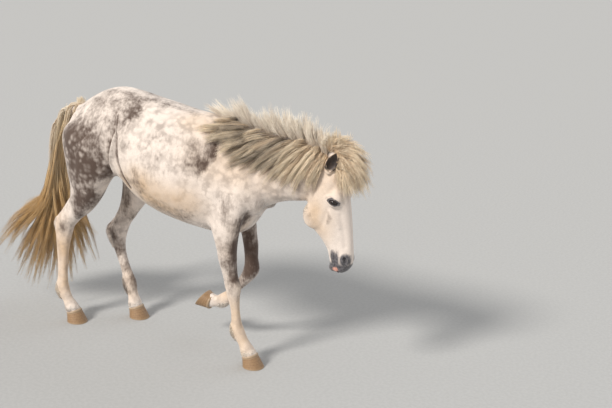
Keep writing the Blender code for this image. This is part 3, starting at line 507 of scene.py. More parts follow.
def unit(ways, least=0.0):
    """Ways made one long; least keeps those without a length from failing."""
    return ways / (np.linalg.norm(ways, axis=-1, keepdims=True) + least)


def distance_to_line(points, line):
    """Distance of each point from a bent line."""
    best = np.full(len(points), 1e9)
    for a, b in zip(line[:-1], line[1:]):
        a, b = np.array(a, float), np.array(b, float)
        way = b - a
        t = np.clip((points - a) @ way / (way @ way), 0, 1)
        best = np.minimum(best, np.linalg.norm(points - (a + t[:, None] * way), axis=1))
    return best


def flesh():
    """Head, neck, trunk, legs and dock fused into one smooth closed body."""
    pieces = [
        barrel("trunk_form", TRUNK, 2.15),
        barrel("neck_form", NECK, 2.1),
        head_loft(),
        limb("fore_right_form", FORE_STANDING, RIGHT),
        limb("fore_left_form", FORE_LIFTED, LEFT),
        limb("hind_right_form", HIND_BACK, RIGHT),
        limb("hind_left_form", HIND_FORWARD, LEFT),
        limb("dock_form", DOCK, RIGHT),
    ]
    for x, y, z, *radii, turn in MASSES:
        for side in (RIGHT, LEFT):
            pieces.append(ball("mass_form", (x, side * y, z), radii, turn))
    for side, path in HAMSTRINGS:
        table = [(x, HAMSTRING_ASIDE, z, radius, radius * HAMSTRING_FLATNESS) for x, z, radius in path]
        pieces.append(limb("hamstring_form", table, side))
    body = join(pieces, "skin")
    apply_modifier(body, "fuse", "REMESH", mode="VOXEL", voxel_size=VOXEL)
    apply_modifier(body, "smooth", "SMOOTH", factor=0.5, iterations=SMOOTHING)
    group = weight_group(body, "broad", broadness)
    apply_modifier(body, "smooth_broad", "SMOOTH", factor=0.5, iterations=BROAD_SMOOTHING,
                   vertex_group=group)
    group = weight_group(body, "plain", plainness)
    apply_modifier(body, "thin_plain", "DECIMATE", ratio=SKIN_SHARE, vertex_group=group)
    body.vertex_groups.clear()
    return body


def refine(body, near):
    """Halves the edges of the faces whose middles a function picks, and rounds what that leaves flat."""
    mesh = body.data
    chosen = near(rows_of(mesh.polygons, "center", 3))
    pick(body)
    bpy.ops.object.mode_set(mode="EDIT")
    bpy.ops.mesh.select_mode(type="FACE")
    bpy.ops.mesh.select_all(action="DESELECT")
    bpy.ops.object.mode_set(mode="OBJECT")
    mesh.polygons.foreach_set("select", chosen)
    bpy.ops.object.mode_set(mode="EDIT")
    bpy.ops.mesh.subdivide(number_cuts=1, smoothness=0.0)
    bpy.ops.mesh.vertices_smooth(factor=0.5, repeat=2)
    bpy.ops.object.mode_set(mode="OBJECT")


def eye_frame(side):
    """Centre of an eye, the way it looks, its long axis towards the nose and its upper side."""
    look = Vector((0.36, side * 0.93, 0.06)).normalized()
    along = Vector((0.985, 0, -0.17))
    along = (along - look * along.dot(look)).normalized()
    over = look.cross(along)
    over = over if over.z > 0 else -over
    return tuple(np.array(v) for v in (Vector(on_side(EYE_CENTRE, side)), look, along, over))


def eye_field(points, side):
    """Places in an eye's frame, and how far each is out of its opening (1 at the rim)."""
    centre, look, along, over = eye_frame(side)
    away = points - centre
    u, v, h = away @ along, away @ over, away @ look
    half, above, below = EYE_OPENING
    height = np.where(v > 0, above, below) * (1 - 0.25 * np.clip(u / 0.02, -1, 1) * np.sign(v))
    opening = np.sqrt((u / half) ** 2 + (v / height) ** 2)
    return u, v, h, opening


def shape_eyes(points, radius):
    """Lids that follow the eyeball, their rims and creases, and the hollow behind the opening."""
    for side in (RIGHT, LEFT):
        _, look, _, _ = eye_frame(side)
        u, v, h, opening = eye_field(points, side)
        reach = np.sqrt(u**2 + v**2)
        zone = (reach < 0.06) & (h > -0.025)
        ball_height = np.sqrt(np.maximum(radius**2 - reach**2, 0.0))
        lid_height = np.sqrt(np.maximum((radius + LID_THICKNESS) ** 2 - reach**2, 0.0)) - 0.0006
        lid_height = np.where(reach < radius + 0.003, lid_height, -1.0)
        gap = lid_height - h
        raised = h + np.where(gap > -LID_BLEND, (gap + LID_BLEND) ** 2 / (4 * LID_BLEND), 0.0)
        raised = np.where(gap > LID_BLEND, lid_height, raised)
        for rise, place, width, lower in LID_CREASES:
            raised += rise * np.where(v > 0, 1.0, lower) * np.exp(-((opening - place) / width) ** 2)
        hollow = ball_height - 0.0055
        share = smoothstep(1.03, 0.95, opening)
        target = raised * (1 - share) + hollow * share
        points[zone] += (target - h)[zone, None] * look
    return points


def nostril_field(points, side):
    """How far points are out of a nostril's opening (1 at its rim), the way into it, and their distance."""
    inward = Vector((-0.42, -side * 0.8, 0.4)).normalized()
    over = Vector((-0.42, 0, 1.0))
    over = (over - inward * over.dot(inward)).normalized()
    fore = over.cross(inward)
    away = points - on_side(NOSTRIL_CENTRE, side)
    a, b = away @ np.array(fore), away @ np.array(over)
    a = a * (1 if fore.x > 0 else -1) + 9.0 * b**2
    opening = np.sqrt((a / (0.0085 + 0.12 * np.clip(b, -0.02, 0.02))) ** 2 + (b / 0.0165) ** 2)
    return opening, np.array(inward), np.linalg.norm(away, axis=1)


def shape_nostrils(points, normals):
    """Two comma-shaped nostrils with raised rims."""
    for side in (RIGHT, LEFT):
        opening, inward, reach = nostril_field(points, side)
        near = (reach < 0.045) & (points[:, 1] * side > 0.012)
        deep = 0.016 * smoothstep(1.15, 0.55, opening) * near
        rim = 0.0028 * np.exp(-((opening - 1.45) / 0.28) ** 2) * near
        points += inward * deep[:, None] + normals * rim[:, None]
    return points


def side_line(points, line):
    """Distance of points from a bent line in the side view."""
    return distance_to_line(points[:, (0, 2)], line)


# Folds and ridges in the side view: line of x, z; width; rise out of the skin; side, or 0 for both;
# least |y|. So many of them, the first ones, are on the trunk:
BODY_FOLDS = 10
FOLDS = (
    (((-0.31, 1.255), (-0.286, 1.17), (-0.307, 1.095), (-0.326, 1.009), (-0.33, 0.93)),
     0.01, -0.0125, 0, 0.12),
    (((-0.294, 1.24), (-0.27, 1.165), (-0.288, 1.09), (-0.305, 1.005), (-0.306, 0.93)),
     0.012, 0.01, 0, 0.12),
    (((-0.289, 1.244), (-0.264, 1.141), (-0.25, 1.014), (-0.222, 0.93), (-0.19, 0.88)),
     0.01, -0.0095, 0, 0.12),
    (((-0.43, 1.2), (-0.51, 1.05), (-0.56, 0.9), (-0.58, 0.8)), 0.022, -0.0045, 0, 0.12),
    (((-0.36, 1.29), (-0.33, 1.24), (-0.35, 1.18)), 0.03, 0.006, 0, 0.1),
    (((0.205, 1.21), (0.27, 1.08), (0.33, 0.96)), 0.03, 0.005, 0, 0.1),
    (((0.33, 1.19), (0.372, 1.08), (0.4, 0.98)), 0.024, -0.006, 0, 0.08),
    (((0.235, 0.96), (0.265, 0.87), (0.3, 0.8)), 0.02, -0.0055, 0, 0.1),
    (((0.33, 0.87), (0.345, 0.78), (0.352, 0.7)), 0.016, -0.0035, 0, 0.12),
    (((0.18, 0.79), (0.06, 0.82), (-0.08, 0.88)), 0.022, -0.003, 0, 0.14),
    (((0.9, 0.928), (0.925, 0.885), (0.947, 0.842)), 0.01, 0.0036, 0, 0.03),
    (((0.897, 0.992), (0.88, 1.012), (0.862, 1.036)), 0.01, 0.0036, 0, 0.04),
    (((0.905, 1.026), (0.912, 1.04)), 0.018, -0.007, 0, 0.04),
    (((0.893, 0.93), (0.872, 0.868), (0.846, 0.812)), 0.012, -0.0032, 0, 0.03),
    (((0.953, 0.905), (0.968, 0.83), (0.98, 0.745)), 0.01, -0.0026, 0, 0.025),
    (((0.8, 1.06), (0.786, 0.985), (0.776, 0.915)), 0.016, -0.005, 0, 0.03),
    (((0.88, 0.735), (0.905, 0.7), (0.925, 0.715)), 0.006, -0.0016, 0, 0.02),
    (((0.9, 0.645), (0.922, 0.64)), 0.006, -0.0014, 0, 0.0),
    (((-0.6, 0.69), (-0.655, 0.615)), 0.009, -0.0035, RIGHT, 0.1),
    (((-0.66, 0.56), (-0.672, 0.5)), 0.009, -0.0028, RIGHT, 0.1),
    (((-0.7, 0.45), (-0.706, 0.22)), 0.007, -0.0024, RIGHT, 0.1),
    (((-0.44, 0.62), (-0.492, 0.545)), 0.009, -0.0035, LEFT, 0.0),
    (((-0.508, 0.43), (-0.455, 0.27)), 0.007, -0.0024, LEFT, 0.0),
    (((0.402, 0.36), (0.416, 0.215)), 0.007, -0.0024, RIGHT, 0.0),
    (((0.378, 0.47), (0.372, 0.415)), 0.01, -0.003, RIGHT, 0.0),
    (((0.29, 0.345), (0.225, 0.262)), 0.007, -0.0024, LEFT, 0.0),
)


def shape_folds(points, normals):
    """Creases of the flank and elbow, edges of muscles, tendons, and the ridges and hollows of the face."""
    moved = np.zeros(len(points))
    for line, width, rise, side, least in FOLDS:
        near = side_line(points, line)
        here = np.abs(points[:, 1]) > least
        if side:
            here &= points[:, 1] * side > 0
        moved += rise * np.exp(-((near / width) ** 2)) * here
    return points + normals * moved[:, None]


def shape_mouth(points, normals):
    """The line between the lips, with fuller lips on both sides of it."""
    near = side_line(points, MOUTH)
    depth = 0.0052 * np.exp(-((near / 0.0024) ** 2)) - 0.0016 * np.exp(-(((near - 0.007) / 0.0035) ** 2))
    here = smoothstep(0.722, 0.705, points[:, 2]) * (points[:, 0] > 0.85)
    return points - normals * (depth * here)[:, None]


def ripples(points, size, seed):
    """A smooth uneven field between -1 and 1, made from waves that run many ways."""
    rng, waves = np.random.default_rng(seed), 24
    ways = unit(rng.normal(size=(waves, 3)))
    ways *= (2 * math.pi / size) * rng.uniform(0.7, 1.4, waves)[:, None]
    phase = rng.uniform(0, 2 * math.pi, waves)
    return np.sin(points @ ways.T + phase).mean(axis=1) * 2.4


# Darker grey of the coat, in the frame: centre x, y, z; radii; strength; side, or 0 for both.
DARK = (
    ((-0.45, 0.2, 1.06), (0.088, 0.18, 0.12), 1.0, 0),
    ((-0.385, 0.2, 0.925), (0.13, 0.16, 0.095), 1.0, 0),
    ((-0.29, 0.19, 0.95), (0.06, 0.16, 0.07), 0.75, 0),
    ((-0.4, 0.19, 0.8), (0.08, 0.14, 0.11), 0.9, 0),
    ((-0.38, 0.16, 1.19), (0.17, 0.15, 0.11), 0.46, 0),
    ((-0.345, 0.19, 1.065), (0.095, 0.16, 0.12), 0.86, 0),
    ((-0.49, 0.18, 1.12), (0.05, 0.12, 0.06), 0.6, 0),
    ((-0.29, 0.11, 1.295), (0.16, 0.12, 0.06), 0.4, 0),
    ((-0.118, 0.14, 1.275), (0.038, 0.07, 0.06), 0.9, 0),
    ((-0.16, 0.09, 1.322), (0.06, 0.07, 0.035), 0.6, 0),
    ((-0.08, 0.05, 1.325), (0.16, 0.06, 0.035), 0.5, 0),
    ((0.12, 0.04, 1.3), (0.13, 0.05, 0.03), 0.45, 0),
    ((-0.19, 0.19, 1.18), (0.09, 0.12, 0.14), 0.3, 0),
    ((0.372, 0.15, 1.19), (0.05, 0.1, 0.095), 0.66, 0),
    ((0.35, 0.17, 1.115), (0.05, 0.1, 0.08), 0.66, 0),
    ((0.316, 0.19, 1.055), (0.046, 0.12, 0.064), 0.5, 0),
    ((0.285, 0.19, 1.13), (0.036, 0.12, 0.055), 0.34, 0),
    ((-0.06, 0.23, 0.915), (0.1, 0.1, 0.07), 0.42, 0),
    ((0.07, 0.24, 1.1), (0.28, 0.14, 0.2), 0.26, 0),
    ((0.15, 0.2, 0.8), (0.22, 0.14, 0.06), 0.36, 0),
    ((0.622, 0.06, 0.87), (0.08, 0.1, 0.09), 0.3, 0),
    ((0.52, 0.18, 0.85), (0.08, 0.1, 0.12), 0.34, 0),
    ((0.548, 0.13, 0.76), (0.038, 0.06, 0.11), 0.95, RIGHT),
    ((0.535, 0.14, 0.65), (0.036, 0.06, 0.09), 0.85, RIGHT),
    ((0.53, 0.13, 0.51), (0.04, 0.06, 0.09), 0.85, RIGHT),
    ((0.495, 0.15, 0.62), (0.06, 0.08, 0.17), 0.46, RIGHT),
    ((0.525, 0.13, 0.4), (0.026, 0.05, 0.07), 0.4, RIGHT),
    ((0.47, 0.15, 0.8), (0.05, 0.08, 0.09), 0.52, RIGHT),
    ((0.5, 0.14, 0.56), (0.036, 0.06, 0.06), 0.6, RIGHT),
    ((0.45, 0.13, 0.68), (0.1, 0.09, 0.2), 0.75, LEFT),
    ((0.48, 0.12, 0.5), (0.08, 0.09, 0.12), 0.95, LEFT),
    ((0.4, 0.12, 0.36), (0.07, 0.08, 0.07), 0.45, LEFT),
    ((-0.4, 0.19, 0.73), (0.07, 0.09, 0.09), 0.75, RIGHT),
    ((-0.465, 0.17, 0.655), (0.05, 0.07, 0.06), 0.65, RIGHT),
    ((-0.49, 0.18, 0.72), (0.05, 0.07, 0.07), 0.4, RIGHT),
    ((-0.55, 0.17, 0.555), (0.034, 0.05, 0.05), 0.62, RIGHT),
    ((-0.33, 0.14, 0.78), (0.1, 0.1, 0.13), 0.58, LEFT),
    ((-0.35, 0.13, 0.64), (0.07, 0.08, 0.09), 0.52, LEFT),
    ((-0.455, 0.12, 0.49), (0.06, 0.08, 0.08), 0.76, LEFT),
    ((-0.395, 0.12, 0.39), (0.045, 0.06, 0.09), 0.64, LEFT),
    ((-0.35, 0.12, 0.27), (0.045, 0.06, 0.08), 0.6, LEFT),
    ((-0.32, 0.12, 0.19), (0.045, 0.06, 0.05), 0.6, LEFT),
    ((0.996, 0.08, 0.888), (0.011, 0.05, 0.04), 0.42, 0),
    ((0.88, 0.07, 0.85), (0.03, 0.06, 0.06), 0.2, 0),
)

# Warm beige of the coat, as above.
WARM = (
    ((0.1, 0.25, 0.87), (0.25, 0.22, 0.11), 1.0, 0),
    ((0.0, 0.24, 0.91), (0.17, 0.14, 0.11), 0.95, 0),
    ((0.13, 0.25, 0.85), (0.2, 0.22, 0.08), 0.8, 0),
    ((0.92, 0.08, 0.9), (0.09, 0.09, 0.13), 0.8, 0),
    ((0.96, 0.06, 0.8), (0.05, 0.05, 0.08), 0.35, 0),
    ((1.01, 0.06, 1.09), (0.12, 0.12, 0.1), 0.5, 0),
    ((0.56, 0.12, 1.12), (0.34, 0.2, 0.16), 0.65, 0),
    ((-0.6, 0.13, 0.44), (0.075, 0.08, 0.22), 1.0, RIGHT),
    ((-0.61, 0.13, 0.2), (0.075, 0.08, 0.15), 0.9, RIGHT),
    ((0.5, 0.12, 0.72), (0.07, 0.09, 0.15), 0.5, RIGHT),
    ((0.51, 0.11, 0.3), (0.07, 0.07, 0.22), 0.95, RIGHT),
    ((0.55, 0.1, 0.12), (0.08, 0.08, 0.08), 0.7, RIGHT),
    ((0.33, 0.12, 0.29), (0.09, 0.08, 0.11), 0.75, LEFT),
    ((-0.34, 0.12, 0.18), (0.08, 0.08, 0.12), 0.6, LEFT),
    ((-0.35, 0.14, 0.72), (0.1, 0.1, 0.13), 0.35, LEFT),
    ((-0.68, 0.02, 1.08), (0.06, 0.1, 0.14), 0.6, 0),
    ((0.25, 0.1, 1.27), (0.12, 0.1, 0.06), 0.6, 0),
)


def patches(points, rows, blur=0.25):
    """How strongly egg-shaped patches with soft, uneven edges cover each point."""
    covered = np.zeros(len(points))
    uneven = points + 0.03 * np.stack([ripples(points, 0.16, seed) for seed in (3, 4, 5)], axis=1)
    ones = np.ones(len(points))
    folded = uneven * np.stack([ones, np.sign(uneven[:, 1]), ones], 1)
    for centre, radii, strength, side in rows:
        compared = uneven if side else folded
        reach = np.linalg.norm((compared - on_side(centre, side or 1)) / np.array(radii), axis=1)
        here = strength * smoothstep(1.55, blur, reach)
        covered = covered + here - covered * here
    return covered


def bare_skin(points, normals):
    """1 on the dark skin of the muzzle, round the eyes and inside the ears."""
    bare = np.zeros(len(points))
    for side in (RIGHT, LEFT):
        u, v, h, opening = eye_field(points, side)
        rim = smoothstep(2.0, 1.25, opening) * (h > 0.0)
        corner = smoothstep(0.02, 0.006, np.hypot(u - 0.024, v + 0.004)) * (h > -0.01) * 0.8
        _, _, reach = nostril_field(points, side)
        nostril = smoothstep(0.056, 0.018, reach)
        root, way, across, out = (np.array(part) for part in ear_frame(side))
        away = points - root
        t = away @ way / EAR_LENGTH
        inner = (t > 0.08) & (t < 1.0) & (normals @ out > 0.02) & (np.abs(away @ across) < 0.03)
        inner &= np.linalg.norm(away - (away @ way)[:, None] * way, axis=1) < 0.028
        bare = np.maximum.reduce([bare, rim, corner, nostril, inner * smoothstep(0.08, 0.2, t)])
    lips = smoothstep(0.048, 0.01, side_line(points, MOUTH)) * smoothstep(0.755, 0.68, points[:, 2])
    chin = smoothstep(0.672, 0.64, points[:, 2]) * (points[:, 0] > 0.82)
    return np.maximum.reduce([bare, lips * (points[:, 0] > 0.85), chin])


def write_field(mesh, name, values):
    """Stores one number for each point as a named attribute."""
    attribute = mesh.attributes.new(name, "FLOAT", "POINT")
    attribute.data.foreach_set("value", np.asarray(values, np.float32))


def mark(made):
    """Stores how dark, how warm, how bare and how pink the coat is at each point; the dark also holds painted
    shade along two flank creases.
    """
    points = points_of(made)
    framed = points + np.array(SETTLE)
    dark = patches(framed, DARK)
    aside = np.abs(points[:, 1])
    # Painted shade: thin dark lines along the two flank creases, added to the dark.
    for line, *_ in (FOLDS[0], FOLDS[2]):
        near = side_line(points, line)
        dark = np.maximum(dark, 0.85 * np.exp(-((near / 0.009) ** 2)) * (aside > 0.12))
    write_field(made.data, "dark", dark)
    ear = smoothstep(1.085, 1.15, points[:, 2]) * (points[:, 0] > 0.84) * smoothstep(0.02, 0.06, aside)
    write_field(made.data, "warm", np.maximum(patches(framed, WARM, 0.1), ear))
    write_field(made.data, "bare", bare_skin(points, normals_of(made)))
    pink = np.linalg.norm((framed - np.array(PINK_SPOT)) / np.array(PINK_RADII), axis=1)
    write_field(made.data, "pink", smoothstep(1.3, 0.5, pink))


class Skin:
    """The finished skin's surface: for growing hair on it, keeping hair off it, and its flat layout."""

    def __init__(self, made):
        mesh = made.data
        drawn = points_of(made) - np.array(SETTLE)
        self.tree = BVHTree.FromPolygons(drawn.tolist(), [tuple(p.vertices) for p in mesh.polygons])
        starts = np.empty(len(mesh.polygons), np.int32)
        mesh.polygons.foreach_get("loop_start", starts)
        self.flat = rows_of(mesh.uv_layers["OFBake"].data, "uv", 2)[starts]
        self.points = drawn
        self.normals = normals_of(made)
        fields = ("dark", "warm", "bare", "pink")
        self.marks = {key: rows_of(mesh.attributes[key].data, "value", 1)[:, 0] for key in fields}

    def nearest(self, points):
        """Nearest place on the skin, its normal and its spot in the flat layout, for each point."""
        near, normals, flat = np.empty_like(points), np.empty_like(points), np.empty((len(points), 2))
        for i, point in enumerate(points):
            place, normal, face, _ = self.tree.find_nearest(point)
            near[i], normals[i], flat[i] = place, normal, self.flat[face]
        return near, normals, flat

    def foot(self, spot):
        """The nearest place on the skin to one spot, and its normal."""
        place, normal, _, _ = self.tree.find_nearest(Vector(spot))
        return np.array(place), np.array(normal)

    def lifted(self, paths, least):
        """Paths whose points are at least so far above the skin; least is one number for each step."""
        shape = paths.shape
        points = paths.reshape(-1, 3)
        near, normals, _ = self.nearest(points)
        height = np.einsum("ij,ij->i", points - near, normals)
        floor = np.broadcast_to(np.asarray(least, float), shape[:2]).reshape(-1)
        low = height < floor
        points = np.where(low[:, None], near + normals * floor[:, None], points)
        return points.reshape(shape)


# Hair: how deep its roots stand in the skin, the waves of mane and tail (size, then how many), how wide
# the near mane's bunches are at root, middle and tip, and the width of a strand's own bake layout.
ROOT_DEPTH = 0.004
MANE_WAVE, TAIL_WAVE = (0.003, 0.9), (0.008, 1.0)
NEAR_SPREAD = (0.007, 0.012, 0.01)
FLAT_SPREAD = 0.003
TUFT_WIDTH = 0.0011
CURVE_STEPS = 12


def strands(name, skin, paths, widths, outs, fields):
    """One mesh of closed three-sided tapering strands. Paths and outs are strands x steps x 3."""
    count, steps = paths.shape[:2]
    way = unit(np.gradient(paths, axis=1), 1e-9)
    outs = unit(outs - way * np.einsum("ijk,ijk->ij", outs, way)[..., None], 1e-9)
    across = np.cross(way, outs)
    half = widths[..., None] / 2
    ring = np.stack([paths + across * half, paths + outs * half * 0.8, paths - across * half], axis=2)
    points = ring.reshape(-1, 3)
    base = (np.arange(count) * steps * 3)[:, None]
    k, j = np.meshgrid(np.arange(steps - 1), np.arange(3), indexing="ij")
    a, b = (k * 3 + j).ravel(), (k * 3 + (j + 1) % 3).ravel()
    quads = np.stack([base + a, base + a + 3, base + b + 3, base + b], axis=2).reshape(-1, 4)
    last = (steps - 1) * 3
    caps = np.concatenate([base + np.array([0, 1, 2]), base + last + np.array([2, 1, 0])])
    loops = np.concatenate([quads.ravel(), caps.ravel()]).astype(np.int32)
    sizes = np.concatenate([np.full(len(quads), 4), np.full(len(caps), 3)])
    starts = np.concatenate([[0], np.cumsum(sizes)[:-1]]).astype(np.int32)
    mesh = bpy.data.meshes.new(name)
    mesh.vertices.add(len(points))
    mesh.vertices.foreach_set("co", points.astype(np.float32).ravel())
    mesh.loops.add(len(loops))
    mesh.loops.foreach_set("vertex_index", loops)
    mesh.polygons.add(len(sizes))
    mesh.polygons.foreach_set("loop_start", starts)
    mesh.update(calc_edges=True)
    mesh.validate()
    made = linked(name, mesh)
    _, _, flat = skin.nearest(paths[:, 0])
    u = flat[:, 0, None, None] + FLAT_SPREAD * (np.arange(3) / 2 - 0.5)[None, None, :]
    v = flat[:, 1, None, None] + FLAT_SPREAD * (np.arange(steps) / (steps - 1) - 0.5)[None, :, None]
    u, v = np.broadcast_to(u, (count, steps, 3)), np.broadcast_to(v, (count, steps, 3))
    place = np.stack([u.reshape(-1), v.reshape(-1)], axis=1)
    layer = mesh.uv_layers.new(name="OFBake")
    layer.data.foreach_set("uv", place[loops].astype(np.float32).ravel())
    for field, values in fields.items():
        write_field(mesh, field, np.broadcast_to(values[..., None], (count, steps, 3)).reshape(-1))
    mesh.shade_smooth()
    return made


def bent(points):
    """Points at even distances along a smooth curve through a few points."""
    rows = catmull(points, CURVE_STEPS)
    gaps = np.linalg.norm(np.diff(rows, axis=0), axis=1)
    along = np.concatenate([[0.0], np.cumsum(gaps)])
    shares = np.linspace(0.0, along[-1], GUIDE_STEPS)
    return np.stack([np.interp(shares, along, rows[:, a]) for a in range(3)], axis=1)


def bunches(rng, guides, count, spread, wave, shorten, steps):
    """Strands in bunches round guide curves: their paths, and which bunch each is in."""
    paths, bunch = [], []
    for index, guide in enumerate(guides):
        dense = len(guide)
        way = unit(np.gradient(guide, axis=0))
        across = unit(np.cross(way, np.array((0.31, 0.74, 0.6))))
        over = np.cross(across, way)
        share = 1 - shorten * rng.random(count) ** 1.6
        at = np.linspace(0, 1, steps)[None, :] * share[:, None] * (dense - 1)
        low = np.minimum(at.astype(int), dense - 2)
        part = (at - low)[..., None]

        def along(rows):
            return rows[low] * (1 - part) + rows[low + 1] * part

        t = at / (dense - 1)
        root, middle, tip = spread
        reach = root + (middle - root) * np.sin(np.pi * np.minimum(t * 0.9, 0.5)) ** 1.2
        reach = reach + (tip - middle) * smoothstep(0.45, 1.05, t)
        angle = rng.uniform(0, 2 * math.pi, count)
        radius = np.sqrt(rng.random(count)) * rng.uniform(0.6, 1.15, count)
        stray = rng.random(count) < 0.06
        radius = np.where(stray, radius * 1.9, radius)
        size, pace = wave
        turn = 2 * math.pi * (pace * t + rng.random()) + rng.normal(0, 0.5, count)[:, None]
        swing = size * t * np.sin(turn)
        turn = 2 * math.pi * (pace * 0.8 * t + rng.random()) + rng.normal(0, 0.5, count)[:, None]
        sway = size * t * np.cos(turn)
        a = (reach * (radius * np.cos(angle))[:, None] + swing)[..., None]
        b = (reach * (radius * np.sin(angle))[:, None] + sway)[..., None]
        paths.append(along(guide) + along(across) * a + along(over) * b)
        bunch.append(np.full(count, index))
    return np.concatenate(paths), np.concatenate(bunch)


def covers_ear(paths):
    """Which strands would lie over the outer side of an ear."""
    covering = np.zeros(len(paths), bool)
    for side in (RIGHT, LEFT):
        root, tip = on_side(EAR_ROOT, side), on_side(EAR_TIP, side)
        way = tip - root
        flat_way = way[[0, 2]]
        dense = np.concatenate([paths, (paths[:, 1:] + paths[:, :-1]) / 2], axis=1)
        away = dense - root
        t = np.clip((away[:, :, [0, 2]] @ flat_way) / (flat_way @ flat_way), -0.15, 1.05)
        across = np.linalg.norm(away[:, :, [0, 2]] - t[..., None] * flat_way, axis=2)
        beyond = dense[:, :, 1] * side > side * (root[1] + t * way[1]) - 0.016
        half = 0.01 + 0.024 * np.sin(math.pi * np.clip(0.2 + 0.8 * t, 0, 1))
        covering |= ((across < half) & beyond).any(axis=1)
    return covering


def forked(rng, guides, each, spread, swing):
    """Splits each guide into finer ones that leave it, wander beside it and end near its tip."""
    finer = []
    for guide in guides:
        steps = len(guide)
        t = np.linspace(0.0, 1.0, steps)[:, None]
        for _ in range(each):
            aside = rng.normal(0, spread, 3) * np.sin(math.pi * np.minimum(t * 0.85, 0.5))
            ending = rng.normal(0, spread * 1.3, 3) * t**2
            pace, phase = rng.uniform(0.6, 1.5), rng.random()
            wave = swing * rng.normal(0, 1, 3) * t * np.sin(2 * math.pi * (pace * t + phase))
            path = guide + aside + ending + wave
            share = rng.uniform(0.76, 1.0)
            at = np.linspace(0.0, share * (steps - 1), steps)
            finer.append(np.stack([np.interp(at, np.arange(steps), path[:, k]) for k in range(3)], axis=1))
    return finer


def taper(widths, steps, root=0.7, tip=0.12):
    """Widths from root to tip, one row for each strand's widest width."""
    t = np.linspace(0, 1, steps)
    shape = root + (1 - root) * np.minimum(1, t / 0.25)
    shape = shape * (1 - (1 - tip) * t**1.8)
    return np.outer(widths, shape)


def hair(name, skin, guides, seed, count, spread, wave, shorten, width, least, shade, limit, steps=7):
    """One piece of long hair in bunches.

    Count is the strands in a bunch. Spread is its radius at root, middle and tip. Wave is the size of its
    waves and their number. Shorten is how much shorter a strand may be. Least is the height above the skin
    near the root and further out. Shade gives, from roots and tips, how dark a strand's root is and its
    bunch as a whole, partly darker hair and partly painted shade where strands crowd and between bunches.
    Limit is the most strands that are kept.
    """
    rng = np.random.default_rng(seed)
    paths, bunch = bunches(rng, guides, count, spread, wave, shorten, steps)
    total = len(paths)
    rise = np.linspace(0, 1, steps)
    higher = (least[1] - least[0]) * smoothstep(0.0, 0.25, rise)[None, :]
    floor = least[0] + higher * rng.uniform(0.6, 1.5, (total, 1))
    floor[:, 0] = -ROOT_DEPTH
    paths = skin.lifted(paths, floor)
    free = np.flatnonzero(~covers_ear(paths))
    free = rng.permutation(free)[:limit]
    paths, bunch = paths[free], bunch[free]
    total = len(paths)
    _, normals, _ = skin.nearest(paths[:, steps // 2])
    outs = np.broadcast_to(normals[:, None, :], paths.shape) + rng.normal(0, 0.35, (total, 1, 3))
    along = np.broadcast_to(rise, (total, steps))
    tone = rng.normal(0, 1, total) * 0.55 + rng.normal(0, 1, len(guides))[bunch] * 0.9
    # Darker roots and bunches: partly the hair's own darker colour, partly painted shade where strands crowd
    # at the root and between bunches.
    root_dark_and_shade, bunch_dark_and_shade = shade(paths[:, 0], paths[:, -1])
    bunch_dark_and_shade = bunch_dark_and_shade * rng.random(len(guides))[bunch] * (0.6 + 0.6 * rng.random(total))
    dark = root_dark_and_shade[:, None] * (1 - smoothstep(0.02, 0.55, along)) + bunch_dark_and_shade[:, None] * (1 - 0.3 * along)
    fields = {"along": along, "tone": np.broadcast_to(tone[:, None], (total, steps)),
              "dark": np.clip(dark, 0, 0.95)}
    widths = taper(width * rng.uniform(0.7, 1.25, total), steps)
    return strands(name, skin, paths, widths, outs, fields)


def crest(x):
    """Height of the top of the neck at x."""
    rows = catmull(NECK, 6)
    return np.interp(x, rows[:, 0], rows[:, 1])


def beside(skin, x, z, side, lift):
    """The place beside the neck or shoulder at x and z, lifted off the skin."""
    hit, normal, _, _ = skin.tree.ray_cast(Vector((x, side * 0.6, z)), Vector((0, -side, 0)))
    if hit is None or abs(hit.y) < 0.008:
        hit, normal, _, _ = skin.tree.find_nearest(Vector((x, side * 0.03, z)))
    return np.array(hit + normal * lift)


# Where the mane's bunches end: root x, tip x, tip z, for the hair that lies down the near side.
NEAR_TIPS = (
    (0.868, 0.812, 1.04),
    (0.848, 0.77, 1.005),
    (0.82, 0.71, 0.99),
    (0.785, 0.63, 0.992),
    (0.745, 0.54, 1.01),
    (0.7, 0.45, 1.038),
    (0.64, 0.365, 1.078),
    (0.57, 0.295, 1.12),
    (0.49, 0.24, 1.165),
    (0.41, 0.195, 1.2),
    (0.33, 0.15, 1.238),
)
# The same for the hair that the wind lifts up and back.
FAN_TIPS = (
    (0.868, 0.866, 1.302),
    (0.845, 0.822, 1.326),
    (0.815, 0.768, 1.35),
    (0.77, 0.7, 1.382),
    (0.71, 0.62, 1.4),
    (0.64, 0.54, 1.4),
    (0.57, 0.462, 1.384),
    (0.5, 0.385, 1.36),
    (0.44, 0.3, 1.384),
    (0.38, 0.205, 1.38),
    (0.31, 0.12, 1.326),
)


def tip_of(table, x):
    """Where hair rooted at x ends."""
    rows = np.array(table)[::-1]
    return np.interp(x, rows[:, 0], rows[:, 1]), np.interp(x, rows[:, 0], rows[:, 2])


